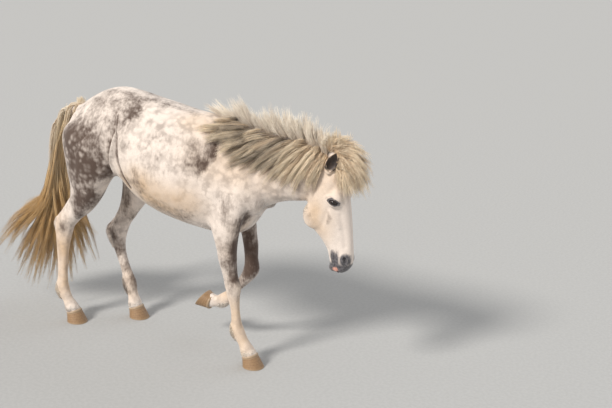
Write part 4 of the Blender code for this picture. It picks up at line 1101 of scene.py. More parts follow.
def mane_guides(skin, side, count, rng):
    """Guide curves for hair that falls from the crest over one side of the neck, in layers."""
    guides = []
    for i in range(count):
        s = (i + rng.uniform(0.15, 0.85)) / count
        x = 0.862 - 0.542 * s
        tip_x, tip_z = tip_of(NEAR_TIPS, x)
        if side == LEFT:
            tip_x, tip_z = x + (tip_x - x) * 0.6, tip_z - 0.05 * math.sin(math.pi * min(1.0, s * 1.2))
        short = (-0.04, 0.16, 0.02, 0.3, 0.08)[i % 5] + rng.uniform(-0.04, 0.04)
        tip_x += (x - tip_x) * short + rng.uniform(-0.012, 0.012)
        root_z = crest(x)
        tip_z += (root_z - tip_z) * short + rng.uniform(-0.01, 0.01)
        layer = (0.012, 0.03, 0.018, 0.038, 0.024)[i % 5]
        sag = 1.02 + 0.42 * math.sin(math.pi * s)
        points = [(x + 0.004, side * 0.003, root_z - 0.01)]
        points.append((x + (tip_x - x) * 0.06, side * 0.018, root_z + 0.004 + layer * 0.35))
        for t in (0.2, 0.4, 0.6, 0.8, 1.0):
            px = x + (tip_x - x) * t
            pz = root_z + (tip_z - root_z) * t**sag
            lift = layer * (1 - 0.35 * t) + 0.012 * math.sin(math.pi * t)
            points.append(beside(skin, px, min(pz, root_z - 0.006), side, lift))
        guides.append(bent(points))
    return guides


def fan_guides(count, rng):
    """Guide curves for the hair that stands up from the crest and blows back, some over the far side."""
    guides = []
    for i in range(count):
        s = (i + rng.uniform(0.1, 0.9)) / count
        x = 0.866 - 0.586 * s
        tip_x, tip_z = tip_of(FAN_TIPS, x)
        lane = (-0.012, 0.04, 0.014, 0.066, 0.0, 0.026)[i % 6] + rng.uniform(-0.006, 0.006)
        root_z = crest(x)
        low = 0.035 * max(0.0, lane - 0.02) / 0.05 + rng.uniform(-0.006, 0.028)
        tip = np.array((tip_x + rng.uniform(-0.03, 0.03), lane, tip_z - low))
        root = np.array((x, lane * 0.12, root_z - 0.012))
        rise = tip[2] - root[2]
        bow = 0.02 * (1 - s) + 0.006
        middle = root + (tip - root) * 0.42 + np.array((-bow, 0.0, 0.1 * rise))
        high = root + (tip - root) * 0.76 + np.array((-bow * 0.7, 0.003, 0.07 * rise))
        guides.append(bent([root, middle, high, tip]))
    return guides


def far_guides(skin, count, rng):
    """Guide curves for hair that rises from the crest and falls over the far side of the neck."""
    guides = []
    for i in range(count):
        s = (i + rng.uniform(0.1, 0.9)) / count
        x = 0.84 - 0.52 * s
        root_z = crest(x)
        back = 0.05 + 0.1 * s
        arch = rng.uniform(0.045, 0.105)
        low = root_z - rng.uniform(0.08, 0.16) * (1.1 - 0.5 * s)
        points = [
            (x, 0.003, root_z - 0.01),
            (x - 0.2 * back, 0.02, root_z + arch * 0.8),
            (x - 0.5 * back, 0.055, root_z + arch),
            (x - 0.8 * back, 0.095, root_z + arch * 0.35),
            tuple(beside(skin, x - back, low, LEFT, 0.03)),
        ]
        guides.append(bent(points))
    return guides


FORELOCK_CENTRE = np.array((0.93, 0.0, 1.115))
FORELOCK_RADII = np.array((0.147, 0.092, 0.172))
# Rows of the forelock's bunches: rise in degrees, bunches, half spread in degrees, how far out of the dome.
FORELOCK_ROWS = (
    (128, 3, 36, 1.2), (104, 4, 40, 1.14), (80, 4, 46, 1.07), (56, 5, 54, 1.03), (34, 5, 62, 1.01),
    (12, 6, 70, 1.01), (-10, 6, 76, 1.02), (-30, 7, 80, 1.03), (-46, 6, 76, 1.02),
)


def forelock_guides(skin, rng):
    """Guide curves that leave the poll between the ears and lie over a dome in front of the forehead."""
    guides = []
    for row, (rise, count, spread, reach) in enumerate(FORELOCK_ROWS):
        for i in range(count):
            turn = math.radians(spread * ((i + rng.uniform(0.25, 0.75)) / count * 2 - 1))
            up = math.radians(rise + rng.uniform(-7, 7))
            toward = np.array((math.cos(up) * math.cos(turn), math.sin(turn), math.sin(up)))
            tip = FORELOCK_CENTRE + toward * FORELOCK_RADII * reach * rng.uniform(0.96, 1.04)
            ahead = 0.85 + 0.0125 * row
            aside = 0.044 * math.sin(turn) * rng.uniform(0.5, 1.1)
            near, normal = skin.foot((ahead, aside, 1.25 - 0.013 * row))
            layer = rng.uniform(0.9, 1.01) - 0.01 * row
            points = [near - normal * 0.006, near + normal * 0.02]
            for t in (0.3, 0.5, 0.7, 0.87, 1.0):
                flat = near + normal * 0.012 + (tip - near) * t - FORELOCK_CENTRE
                out = flat * (layer / np.linalg.norm(flat / FORELOCK_RADII))
                place = FORELOCK_CENTRE + (out if t < 0.95 else flat * 0.97)
                points.append(near + (place - near) * min(1.0, 0.25 + t * 1.1))
            guides.append(bent(points))
    for side in (RIGHT, LEFT):
        for i in range(9):
            share = (i + rng.uniform(0.2, 0.8)) / 9
            near, normal = skin.foot((0.888 + 0.04 * share, side * 0.026, 1.22))
            tip_x, tip_z = 0.922 + 0.05 * share, 1.03 - 0.04 * share
            tip = beside(skin, tip_x, tip_z, side, 0.012)
            middle = beside(skin, 0.4 * near[0] + 0.6 * tip_x, near[2] * 0.45 + tip_z * 0.55, side, 0.018)
            guides.append(bent([near - normal * 0.006, near + normal * 0.018, middle, tip]))
    return guides


# The tail's bunches: share of the dock they leave from, lane across, tip x, tip z, how far they bow back.
# So many of them, the first ones, make the outer piece:
OUTER_BUNCHES = 7
TAIL_BUNCHES = (
    (0.2, -0.2, -1.3, 0.285, 0.055),
    (0.24, 0.5, -1.262, 0.35, 0.06),
    (0.3, -0.7, -1.215, 0.215, 0.045),
    (0.32, 0.2, -1.205, 0.11, 0.035),
    (0.36, 0.8, -1.15, 0.06, 0.03),
    (0.42, -0.5, -1.12, 0.13, 0.025),
    (0.46, 0.1, -1.06, 0.06, 0.015),
    (0.52, 0.7, -1.0, 0.065, 0.01),
    (0.58, -0.6, -0.96, 0.11, 0.005),
    (0.64, 0.0, -0.9, 0.075, 0.0),
    (0.7, 0.6, -0.83, 0.11, -0.005),
    (0.76, -0.3, -0.76, 0.15, -0.01),
    (0.82, 0.3, -0.7, 0.21, -0.015),
    (0.88, 0.8, -0.64, 0.3, -0.02),
    (0.9, 0.1, -0.61, 0.42, -0.02),
)


def dock_guides(rng, count):
    """Guide curves of the paler, shorter hair that covers the dock and falls on both its sides."""
    guides = []
    dock = bent([row[:3] for row in DOCK])
    for i in range(count):
        share = (i + rng.uniform(0, 1)) / count
        lane = rng.uniform(-1, 1)
        k = int(3 + 13 * share)
        root = dock[k] + np.array((0.006, 0.016 * lane, 0.024 * (1 - share)))
        drop = rng.uniform(0.16, 0.34)
        out = root + np.array((-0.03 - 0.02 * share, 0.03 * lane, 0.004))
        mid = root + np.array((-0.05 - 0.02 * rng.random(), 0.05 * lane, -drop * 0.45))
        tip = root + np.array((-0.045 - 0.05 * rng.random(), 0.06 * lane, -drop))
        guides.append(bent([root, out, mid, tip]))
    for lane in (-0.5, 0.3):
        root = dock[3] + np.array((0.0, 0.012 * lane, 0.026))
        guides.append(bent([root, root + np.array((-0.02, 0.01 * lane, 0.022)),
                            root + np.array((-0.045, 0.02 * lane, 0.034))]))
    return guides


def tail_guides(rows):
    """Guide curves of the tail's bunches, blown back from the dock into a fan."""
    guides = []
    dock = bent([row[:3] for row in DOCK])
    for share, lane, tip_x, tip_z, bow in rows:
        root = dock[int(5 + 17 * share)] + np.array((0, 0.012 * lane, 0))
        back = (-0.62 - tip_x) / 0.68
        tip = np.array((tip_x, 0.085 * lane, tip_z))
        leave = root + np.array((-0.026 - 0.03 * back, 0.035 * lane, -0.13))
        arrive = np.array((-0.77 - 0.125 * back, 0.065 * lane, 0.66))
        late = arrive + (tip - arrive) * 0.5 + np.array((-0.2 * bow, 0.0, bow)) * 0.9
        guides.append(bent([root, leave, arrive, late, tip]))
    return guides


# Tufts: middle x, |y|, z; radii; count; length; how far it stands off; way x, z; side, or 0 for both.
TUFTS = (
    ((-0.738, 0.13, 0.165), (0.04, 0.04, 0.06), 1000, 0.046, 0.14, (-0.3, -1.0), RIGHT),
    ((-0.465, 0.122, 0.18), (0.045, 0.04, 0.06), 1200, 0.05, 0.16, (-0.2, -1.0), LEFT),
    ((0.388, 0.098, 0.178), (0.036, 0.04, 0.055), 900, 0.044, 0.14, (-0.3, -1.0), RIGHT),
    ((0.21, 0.12, 0.205), (0.05, 0.04, 0.036), 900, 0.04, 0.2, (-0.3, -1.0), LEFT),
    ((-0.65, 0.127, 0.08), (0.062, 0.062, 0.02), 900, 0.024, 0.05, (0.25, -1.0), RIGHT),
    ((-0.4, 0.121, 0.08), (0.062, 0.062, 0.02), 900, 0.024, 0.05, (0.25, -1.0), LEFT),
    ((0.48, 0.086, 0.08), (0.062, 0.062, 0.02), 900, 0.024, 0.05, (0.25, -1.0), RIGHT),
    ((0.122, 0.12, 0.214), (0.024, 0.062, 0.062), 900, 0.022, 0.05, (-1.0, 0.1), LEFT),
    ((-0.756, 0.13, 0.545), (0.024, 0.04, 0.1), 400, 0.018, 0.12, (-0.15, -1.0), RIGHT),
    ((-0.594, 0.13, 0.455), (0.024, 0.04, 0.1), 400, 0.018, 0.12, (-0.15, -1.0), LEFT),
    ((0.06, 0.03, 0.69), (0.42, 0.06, 0.035), 2000, 0.022, 0.14, (-1.0, -0.35), 0),
    ((0.24, 0.11, 0.74), (0.06, 0.06, 0.06), 700, 0.02, 0.14, (-0.7, -0.8), 0),
    ((0.53, 0.03, 0.88), (0.045, 0.08, 0.12), 1000, 0.022, 0.12, (-0.2, -1.0), 0),
    ((0.757, 0.026, 0.9), (0.022, 0.045, 0.09), 1000, 0.018, 0.04, (-0.1, -1.0), 0),
    ((0.69, 0.04, 0.915), (0.12, 0.05, 0.028), 1200, 0.02, 0.12, (-0.6, -1.0), 0),
    ((-0.69, 0.12, 1.0), (0.04, 0.06, 0.2), 900, 0.012, 0.08, (-0.3, -1.0), 0),
    ((0.36, 0.14, 0.48), (0.02, 0.045, 0.12), 400, 0.012, 0.1, (-0.15, -1.0), RIGHT),
)


def tuft_rows(skin, rng):
    """Roots, ways, lengths and lifts of the tufts in every region."""
    points = skin.points
    picked, ways, lengths, lifts = [], [], [], []
    for centre, radii, count, length, lift, (way_x, way_z), side in TUFTS:
        away = points.copy()
        away[:, 1] = np.abs(away[:, 1])
        reach = np.linalg.norm((away - np.array(centre)) / np.array(radii), axis=1)
        inside = (reach < 1.0) & ((points[:, 1] * side > 0) if side else True)
        rows = np.flatnonzero(inside)
        if not len(rows):
            raise RuntimeError("A region of tufts misses the skin")
        rows = rng.choice(rows, count)
        fade = np.sqrt(np.clip(1.15 - reach[rows], 0.15, 1.0))
        picked.append(rows)
        ways.append(np.tile(np.array((way_x, 0.0, way_z)), (count, 1)))
        lengths.append(length * fade * rng.uniform(0.6, 1.2, count))
        lifts.append(np.full(count, lift))
    return tuple(np.concatenate(part) for part in (picked, ways, lengths, lifts))


def tufts(name, skin, rows, ways, lengths, lifts, rng):
    """One piece of short tufts that lie along the coat and carry its markings."""
    count, steps, jitter = len(rows), 3, 0.006
    normals = skin.normals[rows]
    ways = ways + rng.normal(0, 0.14, ways.shape)
    flat = unit(ways - normals * np.einsum("ij,ij->i", ways, normals)[:, None], 1e-6)
    t = np.linspace(0, 1, steps)[None, :, None]
    beside_way = np.cross(normals, flat)
    root = skin.points[rows] + flat * rng.uniform(-jitter, jitter, count)[:, None] - normals * 0.0014
    root += beside_way * rng.uniform(-jitter, jitter, count)[:, None]
    rise = normals[:, None, :] * (lengths * lifts)[:, None, None] * np.sin(t * 1.9)
    paths = root[:, None, :] + flat[:, None, :] * lengths[:, None, None] * t + rise
    paths[:, 1:] += normals[:, None, :] * 0.001
    widths = TUFT_WIDTH * rng.uniform(0.7, 1.4, count) * (1 + 12 * lengths)
    widths = taper(widths, steps, 1.0, 0.1)
    outs = np.broadcast_to(normals[:, None, :], paths.shape)
    fields = {key: np.repeat(marks[rows][:, None], steps, axis=1) for key, marks in skin.marks.items()}
    return strands(name, skin, paths, widths, outs, fields)


def group_of(name, inputs, outputs):
    """A shader node group with its sockets, and its input and output nodes."""
    tree = bpy.data.node_groups.new(name, "ShaderNodeTree")
    for label, kind, value in inputs:
        socket = tree.interface.new_socket(label, in_out="INPUT", socket_type="NodeSocket" + kind)
        socket.default_value = value
    for label, kind in outputs:
        tree.interface.new_socket(label, in_out="OUTPUT", socket_type="NodeSocket" + kind)
    return tree, tree.nodes.new("NodeGroupInput"), tree.nodes.new("NodeGroupOutput")


NOISE_ROUGHNESS = 0.55


def noise(tree, vector, scale, detail):
    """A noise pattern's value."""
    node = tree.nodes.new("ShaderNodeTexNoise")
    node.inputs["Scale"].default_value = scale
    node.inputs["Detail"].default_value = detail
    node.inputs["Roughness"].default_value = NOISE_ROUGHNESS
    tree.links.new(vector, node.inputs["Vector"])
    return node.outputs["Fac"]


def stretched(tree, vector, scale):
    """A pattern's coordinates, stretched along each axis."""
    node = tree.nodes.new("ShaderNodeMapping")
    node.inputs["Scale"].default_value = scale
    tree.links.new(vector, node.inputs["Vector"])
    return node.outputs["Vector"]


def math_node(tree, operation, first, second, third=0.0):
    """A sum, product or other arithmetic of values or sockets."""
    node = tree.nodes.new("ShaderNodeMath")
    node.operation = operation
    for socket, value in zip(node.inputs, (first, second, third)):
        if isinstance(value, (int, float)):
            socket.default_value = value
        else:
            tree.links.new(value, socket)
    return node.outputs[0]


def times(tree, first, second):
    """The product of two values or sockets."""
    return math_node(tree, "MULTIPLY", first, second)


def times_plus(tree, first, second, third):
    """The product of two values or sockets, with a third added."""
    return math_node(tree, "MULTIPLY_ADD", first, second, third)


def span(tree, value, low, high, to_low=0.0, to_high=1.0):
    """A value carried from one range to another, smoothly and without overshoot."""
    node = tree.nodes.new("ShaderNodeMapRange")
    node.interpolation_type = "SMOOTHSTEP"
    tree.links.new(value, node.inputs["Value"])
    for label, number in (("From Min", low), ("From Max", high), ("To Min", to_low), ("To Max", to_high)):
        node.inputs[label].default_value = number
    return node.outputs["Result"]


def blended(tree, share, first, second, mode="MIX"):
    """Two colours mixed by a share."""
    node = tree.nodes.new("ShaderNodeMix")
    node.data_type = "RGBA"
    node.blend_type = mode
    for socket, value in ((node.inputs[0], share), (node.inputs[6], first), (node.inputs[7], second)):
        if isinstance(value, (int, float, tuple)):
            socket.default_value = value
        else:
            tree.links.new(value, socket)
    return node.outputs[2]


def attribute(tree, name):
    """A named attribute's number."""
    node = tree.nodes.new("ShaderNodeAttribute")
    node.attribute_name = name
    return node.outputs["Fac"]


def object_place(tree):
    """Object coordinates."""
    return tree.nodes.new("ShaderNodeTexCoord").outputs["Object"]


def coat_pattern():
    """The dapple-grey coat: cream ground, grey mottle, dark patches with pale dapples, beige, bare skin; the
    dark patches also carry the painted shade of the flank creases.
    """
    found = bpy.data.node_groups.get("dapple_grey_coat")
    if found:
        return found
    tree, given, made = group_of(
        "dapple_grey_coat",
        (
            ("Place", "Vector", (0, 0, 0)),
            *((label, "Float", 0.0) for label in ("Dark patches", "Beige patches", "Bare skin", "Pink skin")),
            ("Cream", "Color", (0.8, 0.74, 0.64, 1)),
            ("Dark grey", "Color", (0.155, 0.115, 0.098, 1)),
            ("Beige", "Color", (0.62, 0.47, 0.33, 1)),
            ("Skin", "Color", (0.06, 0.056, 0.06, 1)),
        ),
        (("Color", "Color"), ("Height", "Float"), ("Roughness", "Float")),
    )
    place, dark, beige = (given.outputs[key] for key in ("Place", "Dark patches", "Beige patches"))
    wander = tree.nodes.new("ShaderNodeTexNoise")
    wander.inputs["Scale"].default_value = 14.0
    wander.inputs["Detail"].default_value = 2.0
    tree.links.new(place, wander.inputs["Vector"])
    shift = tree.nodes.new("ShaderNodeVectorMath")
    shift.operation = "MULTIPLY_ADD"
    shift.inputs[1].default_value = (0.034, 0.034, 0.034)
    tree.links.new(wander.outputs["Color"], shift.inputs[0])
    tree.links.new(place, shift.inputs[2])
    cells = tree.nodes.new("ShaderNodeTexVoronoi")
    cells.feature = "SMOOTH_F1"
    cells.inputs["Smoothness"].default_value = 0.55
    cells.inputs["Scale"].default_value = 30.0
    cells.inputs["Randomness"].default_value = 0.95
    tree.links.new(shift.outputs[0], cells.inputs["Vector"])
    broad = noise(tree, place, 8.0, 3.0)
    middle = noise(tree, place, 19.0, 3.0)
    fine = noise(tree, place, 60.0, 3.0)
    streak = noise(tree, stretched(tree, place, (1.0, 1.0, 0.28)), 95.0, 2.0)
    spot = span(tree, cells.outputs["Distance"], 0.02, 0.6, 1.0, 0.0)
    hue = tree.nodes.new("ShaderNodeSeparateColor")
    tree.links.new(cells.outputs["Color"], hue.inputs[0])
    spot = times(tree, spot, span(tree, hue.outputs[0], 0.15, 0.8, 0.15, 1.0))
    axes = tree.nodes.new("ShaderNodeSeparateXYZ")
    tree.links.new(place, axes.inputs[0])
    spot = times(tree, spot, span(tree, axes.outputs["Z"], 0.55, 0.85, 0.35, 1.0))
    window = span(tree, dark, 0.0, 0.22)
    uneven = times_plus(tree, broad, 1.1, times(tree, middle, 0.8))
    uneven = times_plus(tree, fine, 0.5, math_node(tree, "SUBTRACT", uneven, 1.5))
    uneven = times_plus(tree, streak, 0.6, uneven)
    patch = times_plus(tree, uneven, 0.95, dark)
    patch = times(tree, span(tree, patch, 0.0, 0.95), window)
    dappled = times(tree, patch, times_plus(tree, spot, -0.52, 1.0))
    edges = span(tree, cells.outputs["Distance"], 0.18, 0.62)
    mottle = times(tree, edges, span(tree, middle, 0.36, 0.62, 0.05, 0.5))
    mottle = times(tree, mottle, span(tree, broad, 0.3, 0.62, 0.25, 1.0))
    mottle = times(tree, mottle, span(tree, axes.outputs["X"], 0.86, 0.99, 1.0, 0.25))
    mottle = times(tree, mottle, times_plus(tree, beige, -0.6, 1.0))
    amount = math_node(tree, "MAXIMUM", dappled, mottle)
    hairs = noise(tree, stretched(tree, place, (60.0, 160.0, 60.0)), 4.0, 2.0)
    warm = times(tree, beige, span(tree, broad, 0.3, 0.7, 0.55, 1.0))
    ground = blended(tree, warm, given.outputs["Cream"], given.outputs["Beige"])
    colour = blended(tree, amount, ground, given.outputs["Dark grey"])
    between = span(tree, hairs, 0.35, 0.7, 0.0, 0.16)
    colour = blended(tree, between, colour, (0.34, 0.26, 0.2, 1), "MULTIPLY")
    rough_skin = noise(tree, place, 90.0, 4.0)
    naked = given.outputs["Bare skin"]
    for pattern, share in ((streak, 0.9), (rough_skin, 0.5)):
        naked = times_plus(tree, math_node(tree, "SUBTRACT", pattern, 0.5), share, naked)
    naked = span(tree, naked, 0.18, 0.98)
    grain = span(tree, rough_skin, 0.35, 0.65)
    bare_tone = blended(tree, grain, given.outputs["Skin"], (0.15, 0.14, 0.15, 1))
    bare_tone = blended(tree, beige, bare_tone, (0.048, 0.031, 0.024, 1))
    bare_tone = blended(tree, given.outputs["Pink skin"], bare_tone, (0.72, 0.36, 0.28, 1))
    colour = blended(tree, naked, colour, bare_tone)
    tree.links.new(colour, made.inputs["Color"])
    height = times_plus(tree, hairs, 0.6, times(tree, rough_skin, 0.5))
    tree.links.new(height, made.inputs["Height"])
    tree.links.new(span(tree, naked, 0.0, 1.0, 0.78, 0.42), made.inputs["Roughness"])
    return tree


def hair_pattern():
    """Long hair: its colour from root to tip, strand by strand, with darker bunches and painted shade at the
    roots and between bunches.
    """
    found = bpy.data.node_groups.get("long_hair")
    if found:
        return found
    tree, given, made = group_of(
        "long_hair",
        (
            *((label, "Float", 0.0) for label in ("Along", "Tone", "Dark")),
            ("Place", "Vector", (0, 0, 0)),
            ("Root", "Color", (0.6, 0.5, 0.38, 1)),
            ("Tip", "Color", (0.8, 0.73, 0.61, 1)),
            ("Shadow", "Color", (0.1, 0.075, 0.06, 1)),
            ("Streak", "Color", (0.42, 0.31, 0.21, 1)),
        ),
        (("Color", "Color"), ("Height", "Float")),
    )
    length = span(tree, given.outputs["Along"], 0.05, 0.75)
    colour = blended(tree, length, given.outputs["Root"], given.outputs["Tip"])
    streak = span(tree, given.outputs["Tone"], 0.1, 1.6, 0.0, 0.8)
    colour = blended(tree, streak, colour, given.outputs["Streak"])
    patchy = noise(tree, given.outputs["Place"], 16.0, 2.0)
    # The dark mix is partly darker hair, partly painted shade at the roots and between bunches.
    dark_and_shade_share = times(tree, given.outputs["Dark"], span(tree, patchy, 0.25, 0.6, 0.55, 1.0))
    colour = blended(tree, dark_and_shade_share, colour, given.outputs["Shadow"])
    tree.links.new(colour, made.inputs["Color"])
    tree.links.new(noise(tree, given.outputs["Place"], 260.0, 2.0), made.inputs["Height"])
    return tree


def material_of(name, roughness, specular, sheen=0.0, coat=0.0):
    """A material, with its nodes and Principled shader if it is new."""
    found = bpy.data.materials.get(name)
    if found:
        return found, None, None
    made = bpy.data.materials.new(name)
    made.use_nodes = True
    tree = made.node_tree
    shader = tree.nodes["Principled BSDF"]
    shader.inputs["Roughness"].default_value = roughness
    shader.inputs["Specular IOR Level"].default_value = specular
    shader.inputs["Sheen Weight"].default_value = sheen
    shader.inputs["Coat Weight"].default_value = coat
    return made, tree, shader


def surfaced(tree, shader, colour, height, distance, strength, roughness=None):
    """Links a colour, a height for bumps and, where given, a roughness to the shader."""
    tree.links.new(colour, shader.inputs["Base Color"])
    if roughness:
        tree.links.new(roughness, shader.inputs["Roughness"])
    bump = tree.nodes.new("ShaderNodeBump")
    bump.inputs["Strength"].default_value = strength
    bump.inputs["Distance"].default_value = distance
    tree.links.new(height, bump.inputs["Height"])
    tree.links.new(bump.outputs["Normal"], shader.inputs["Normal"])


def placed_group(tree, pattern, values):
    """A group in a material, with its inputs linked or set."""
    node = tree.nodes.new("ShaderNodeGroup")
    node.node_tree = pattern
    for label, value in values.items():
        if isinstance(value, (int, float, tuple)):
            node.inputs[label].default_value = value
        else:
            tree.links.new(value, node.inputs[label])
    return node


def coat_material(colours, name="short_coat", paler=0.0):
    """The short coat of the skin, or of its tufts; for the tufts a share lifts the colours as painted light,
    standing in for light through their thin hairs and against their self-shadowing.
    """
    made, tree, shader = material_of(name, 0.75, 0.25, 0.25)
    if tree is None:
        return made
    shader.inputs["Sheen Roughness"].default_value = 0.5

    # Painted light: colours lifted towards white by the share.
    def with_painted_light(colour):
        return tuple(part + paler * (1.0 - part) * part for part in tuple(colour)[:3]) + (1.0,)

    fields = {"Dark patches": "dark", "Beige patches": "warm", "Bare skin": "bare", "Pink skin": "pink"}
    values = {"Place": object_place(tree)}
    values |= {label: attribute(tree, field) for label, field in fields.items()}
    values |= {"Cream": with_painted_light(colours.cream), "Dark grey": with_painted_light(colours.dark_grey),
               "Beige": with_painted_light(colours.beige), "Skin": with_painted_light(colours.muzzle)}
    coat = placed_group(tree, coat_pattern(), values)
    colour, height, roughness = (coat.outputs[key] for key in ("Color", "Height", "Roughness"))
    surfaced(tree, shader, colour, height, 0.0016, 0.55, roughness)
    return made


def hair_material(name, root, tip, shadow, streak):
    """Long hair in its own colours."""
    made, tree, shader = material_of(name, 0.5, 0.3, 0.35)
    if tree is None:
        return made
    values = {key: attribute(tree, key.lower()) for key in ("Along", "Tone", "Dark")}
    values |= {"Place": object_place(tree), "Root": root, "Tip": tip, "Shadow": shadow, "Streak": streak}
    pattern = placed_group(tree, hair_pattern(), values)
    surfaced(tree, shader, pattern.outputs["Color"], pattern.outputs["Height"], 0.0004, 0.5)
    return made


def horn_material(colours):
    """Amber-brown hoof horn with growth rings, fine lines down the wall and a paler sole."""
    made, tree, shader = material_of("horn_wall", 0.45, 0.45)
    if tree is None:
        return made
    place = object_place(tree)
    rise, turn, sole = (attribute(tree, key) for key in ("rise", "turn", "sole"))
    lines = tree.nodes.new("ShaderNodeCombineXYZ")
    tree.links.new(times(tree, turn, 9.0), lines.inputs["X"])
    tree.links.new(times(tree, rise, 0.6), lines.inputs["Y"])
    tubules = noise(tree, lines.outputs["Vector"], 6.0, 4.0)
    bands = tree.nodes.new("ShaderNodeCombineXYZ")
    tree.links.new(times(tree, rise, 7.0), bands.inputs["Y"])
    rings = noise(tree, bands.outputs["Vector"], 2.2, 3.0)
    blotch = noise(tree, place, 30.0, 3.0)
    colour = blended(tree, span(tree, tubules, 0.35, 0.65), tuple(colours.horn), (0.17, 0.095, 0.05, 1))
    colour = blended(tree, span(tree, rings, 0.4, 0.62, 0.0, 0.5), colour, (0.46, 0.3, 0.17, 1))
    colour = blended(tree, span(tree, rise, 0.72, 1.0, 0.0, 0.55), colour, (0.5, 0.4, 0.29, 1))
    colour = blended(tree, span(tree, rise, 0.1, 0.0, 0.0, 0.6), colour, (0.42, 0.33, 0.23, 1))
    pale = blended(tree, span(tree, blotch, 0.35, 0.65), (0.34, 0.27, 0.2, 1), (0.2, 0.16, 0.12, 1))
    colour = blended(tree, sole, colour, pale)
    roughness = span(tree, blotch, 0.3, 0.7, 0.36, 0.62)
    height = times_plus(tree, rings, 0.8, times(tree, tubules, 0.35))
    surfaced(tree, shader, colour, height, 0.0014, 0.7, roughness)
    return made


def eye_material():
    """A dark brown horse's eye: level oval pupil, rayed iris, darker rim, under a clear wet front."""
    made, tree, shader = material_of("wet_eye", 0.1, 0.3, 0.0, 0.6)
    if tree is None:
        return made
    shader.inputs["Coat Roughness"].default_value = 0.03
    out, pupil = attribute(tree, "out"), attribute(tree, "pupil")
    rays = tree.nodes.new("ShaderNodeCombineXYZ")
    tree.links.new(times(tree, attribute(tree, "turn"), 7.0), rays.inputs["X"])
    tree.links.new(times(tree, out, 1.2), rays.inputs["Y"])
    fibres = noise(tree, rays.outputs["Vector"], 4.0, 4.0)
    iris = blended(tree, span(tree, fibres, 0.35, 0.65), (0.01, 0.006, 0.005, 1), (0.034, 0.018, 0.011, 1))
    colour = blended(tree, span(tree, pupil, 1.1, 0.9), iris, (0.004, 0.004, 0.006, 1))
    white = blended(tree, span(tree, fibres, 0.4, 0.6), (0.02, 0.015, 0.014, 1), (0.05, 0.04, 0.036, 1))
    colour = blended(tree, span(tree, out, 0.8, 0.9), colour, white)
    surfaced(tree, shader, colour, fibres, 0.0002, 0.4, span(tree, out, 0.75, 0.95, 0.08, 0.22))
    return made


def floor_material(colours):
    """A plain pale floor with a faint grain."""
    made, tree, shader = material_of("studio_floor", 1.0, 0.0)
    if tree is None:
        return made
    grain = noise(tree, object_place(tree), 55.0, 4.0)
    shade = tuple(c * 0.94 for c in tuple(colours.floor)[:3]) + (1.0,)
    colour = blended(tree, span(tree, grain, 0.35, 0.65), tuple(colours.floor), shade)
    surfaced(tree, shader, colour, grain, 0.0006, 0.3)
    return made


def dressed(made, surface):
    """Moves a finished mesh into the frame, with its material and slot, to ride with the body."""
    made.data.transform(Matrix.Translation(SETTLE))
    made.data.update()
    made.data.materials.clear()
    made.data.materials.append(surface)
    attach(made, "root")


def the_skin():
    """The finished skin, which the hair grows from."""
    found = bpy.data.objects.get("skin")
    if found is None:
        raise RuntimeError("The skin has to be made before its hair")
    return Skin(found)


FLESH_NODES = (
    "head", "neck", "torso", "tail", "ear_right", "ear_left",
    "fore_right_forearm", "fore_right_cannon", "fore_left_forearm", "fore_left_cannon",
    "hind_right_gaskin", "hind_right_cannon", "hind_left_gaskin", "hind_left_cannon",
)


def length_setting(name, description, default, least, most):
    """A length that a user may change."""
    return bpy.props.FloatProperty(
        name=name, description=description, default=default, min=least, max=most, unit="LENGTH"
    )


def colour_setting(name, description, red, green, blue):
    """A colour that a user may change."""
    return bpy.props.FloatVectorProperty(
        name=name, description=description, subtype="COLOR", size=4, min=0.0, max=1.0,
        default=(red, green, blue, 1.0),
    )


class HorseSizes(bpy.types.PropertyGroup):
    """Sizes of the horse's looks."""

    eye_radius: length_setting("Eye radius", "Radius of each eyeball", 0.0232, 0.015, 0.03)
    coat_depth: length_setting(
        "Coat depth", "How far the skin lies inside the solids on the body", 0.003, 0.0, 0.01
    )
    leg_coat_depth: length_setting(
        "Leg coat depth", "How far the skin lies inside the solids on the legs and head", 0.0015, 0.0, 0.01
    )
    strand_width: length_setting(
        "Strand width", "Width of a strand of the mane at its widest", 0.0025, 0.0005, 0.01
    )
    mane_strands: bpy.props.IntProperty(
        name="Strands in a bunch", description="Strands in each bunch of the near mane",
        default=58, min=10, max=150,
    )


class HorseColours(bpy.types.PropertyGroup):
    """Colours of the coat, hair, skin, horn and studio."""

    cream: colour_setting("Cream", "Ground colour of the coat", 0.84, 0.742, 0.67)
    dark_grey: colour_setting("Dark grey", "Darkest colour of the dappled patches", 0.098, 0.064, 0.049)
    beige: colour_setting("Beige", "Warm tint of belly, cheek and lower legs", 0.69, 0.5, 0.33)
    muzzle: colour_setting("Muzzle", "Bare dark skin of muzzle and eye rims", 0.048, 0.047, 0.054)
    mane: colour_setting("Mane", "Ends of the mane that lies on the neck", 0.99, 0.835, 0.62)
    tail: colour_setting("Tail", "Golden brown of the tail", 0.73, 0.48, 0.205)
    horn: colour_setting("Horn", "Amber brown of the hooves", 0.36, 0.225, 0.12)
    floor: colour_setting("Floor", "Pale colour of the studio floor", 0.452, 0.456, 0.456)


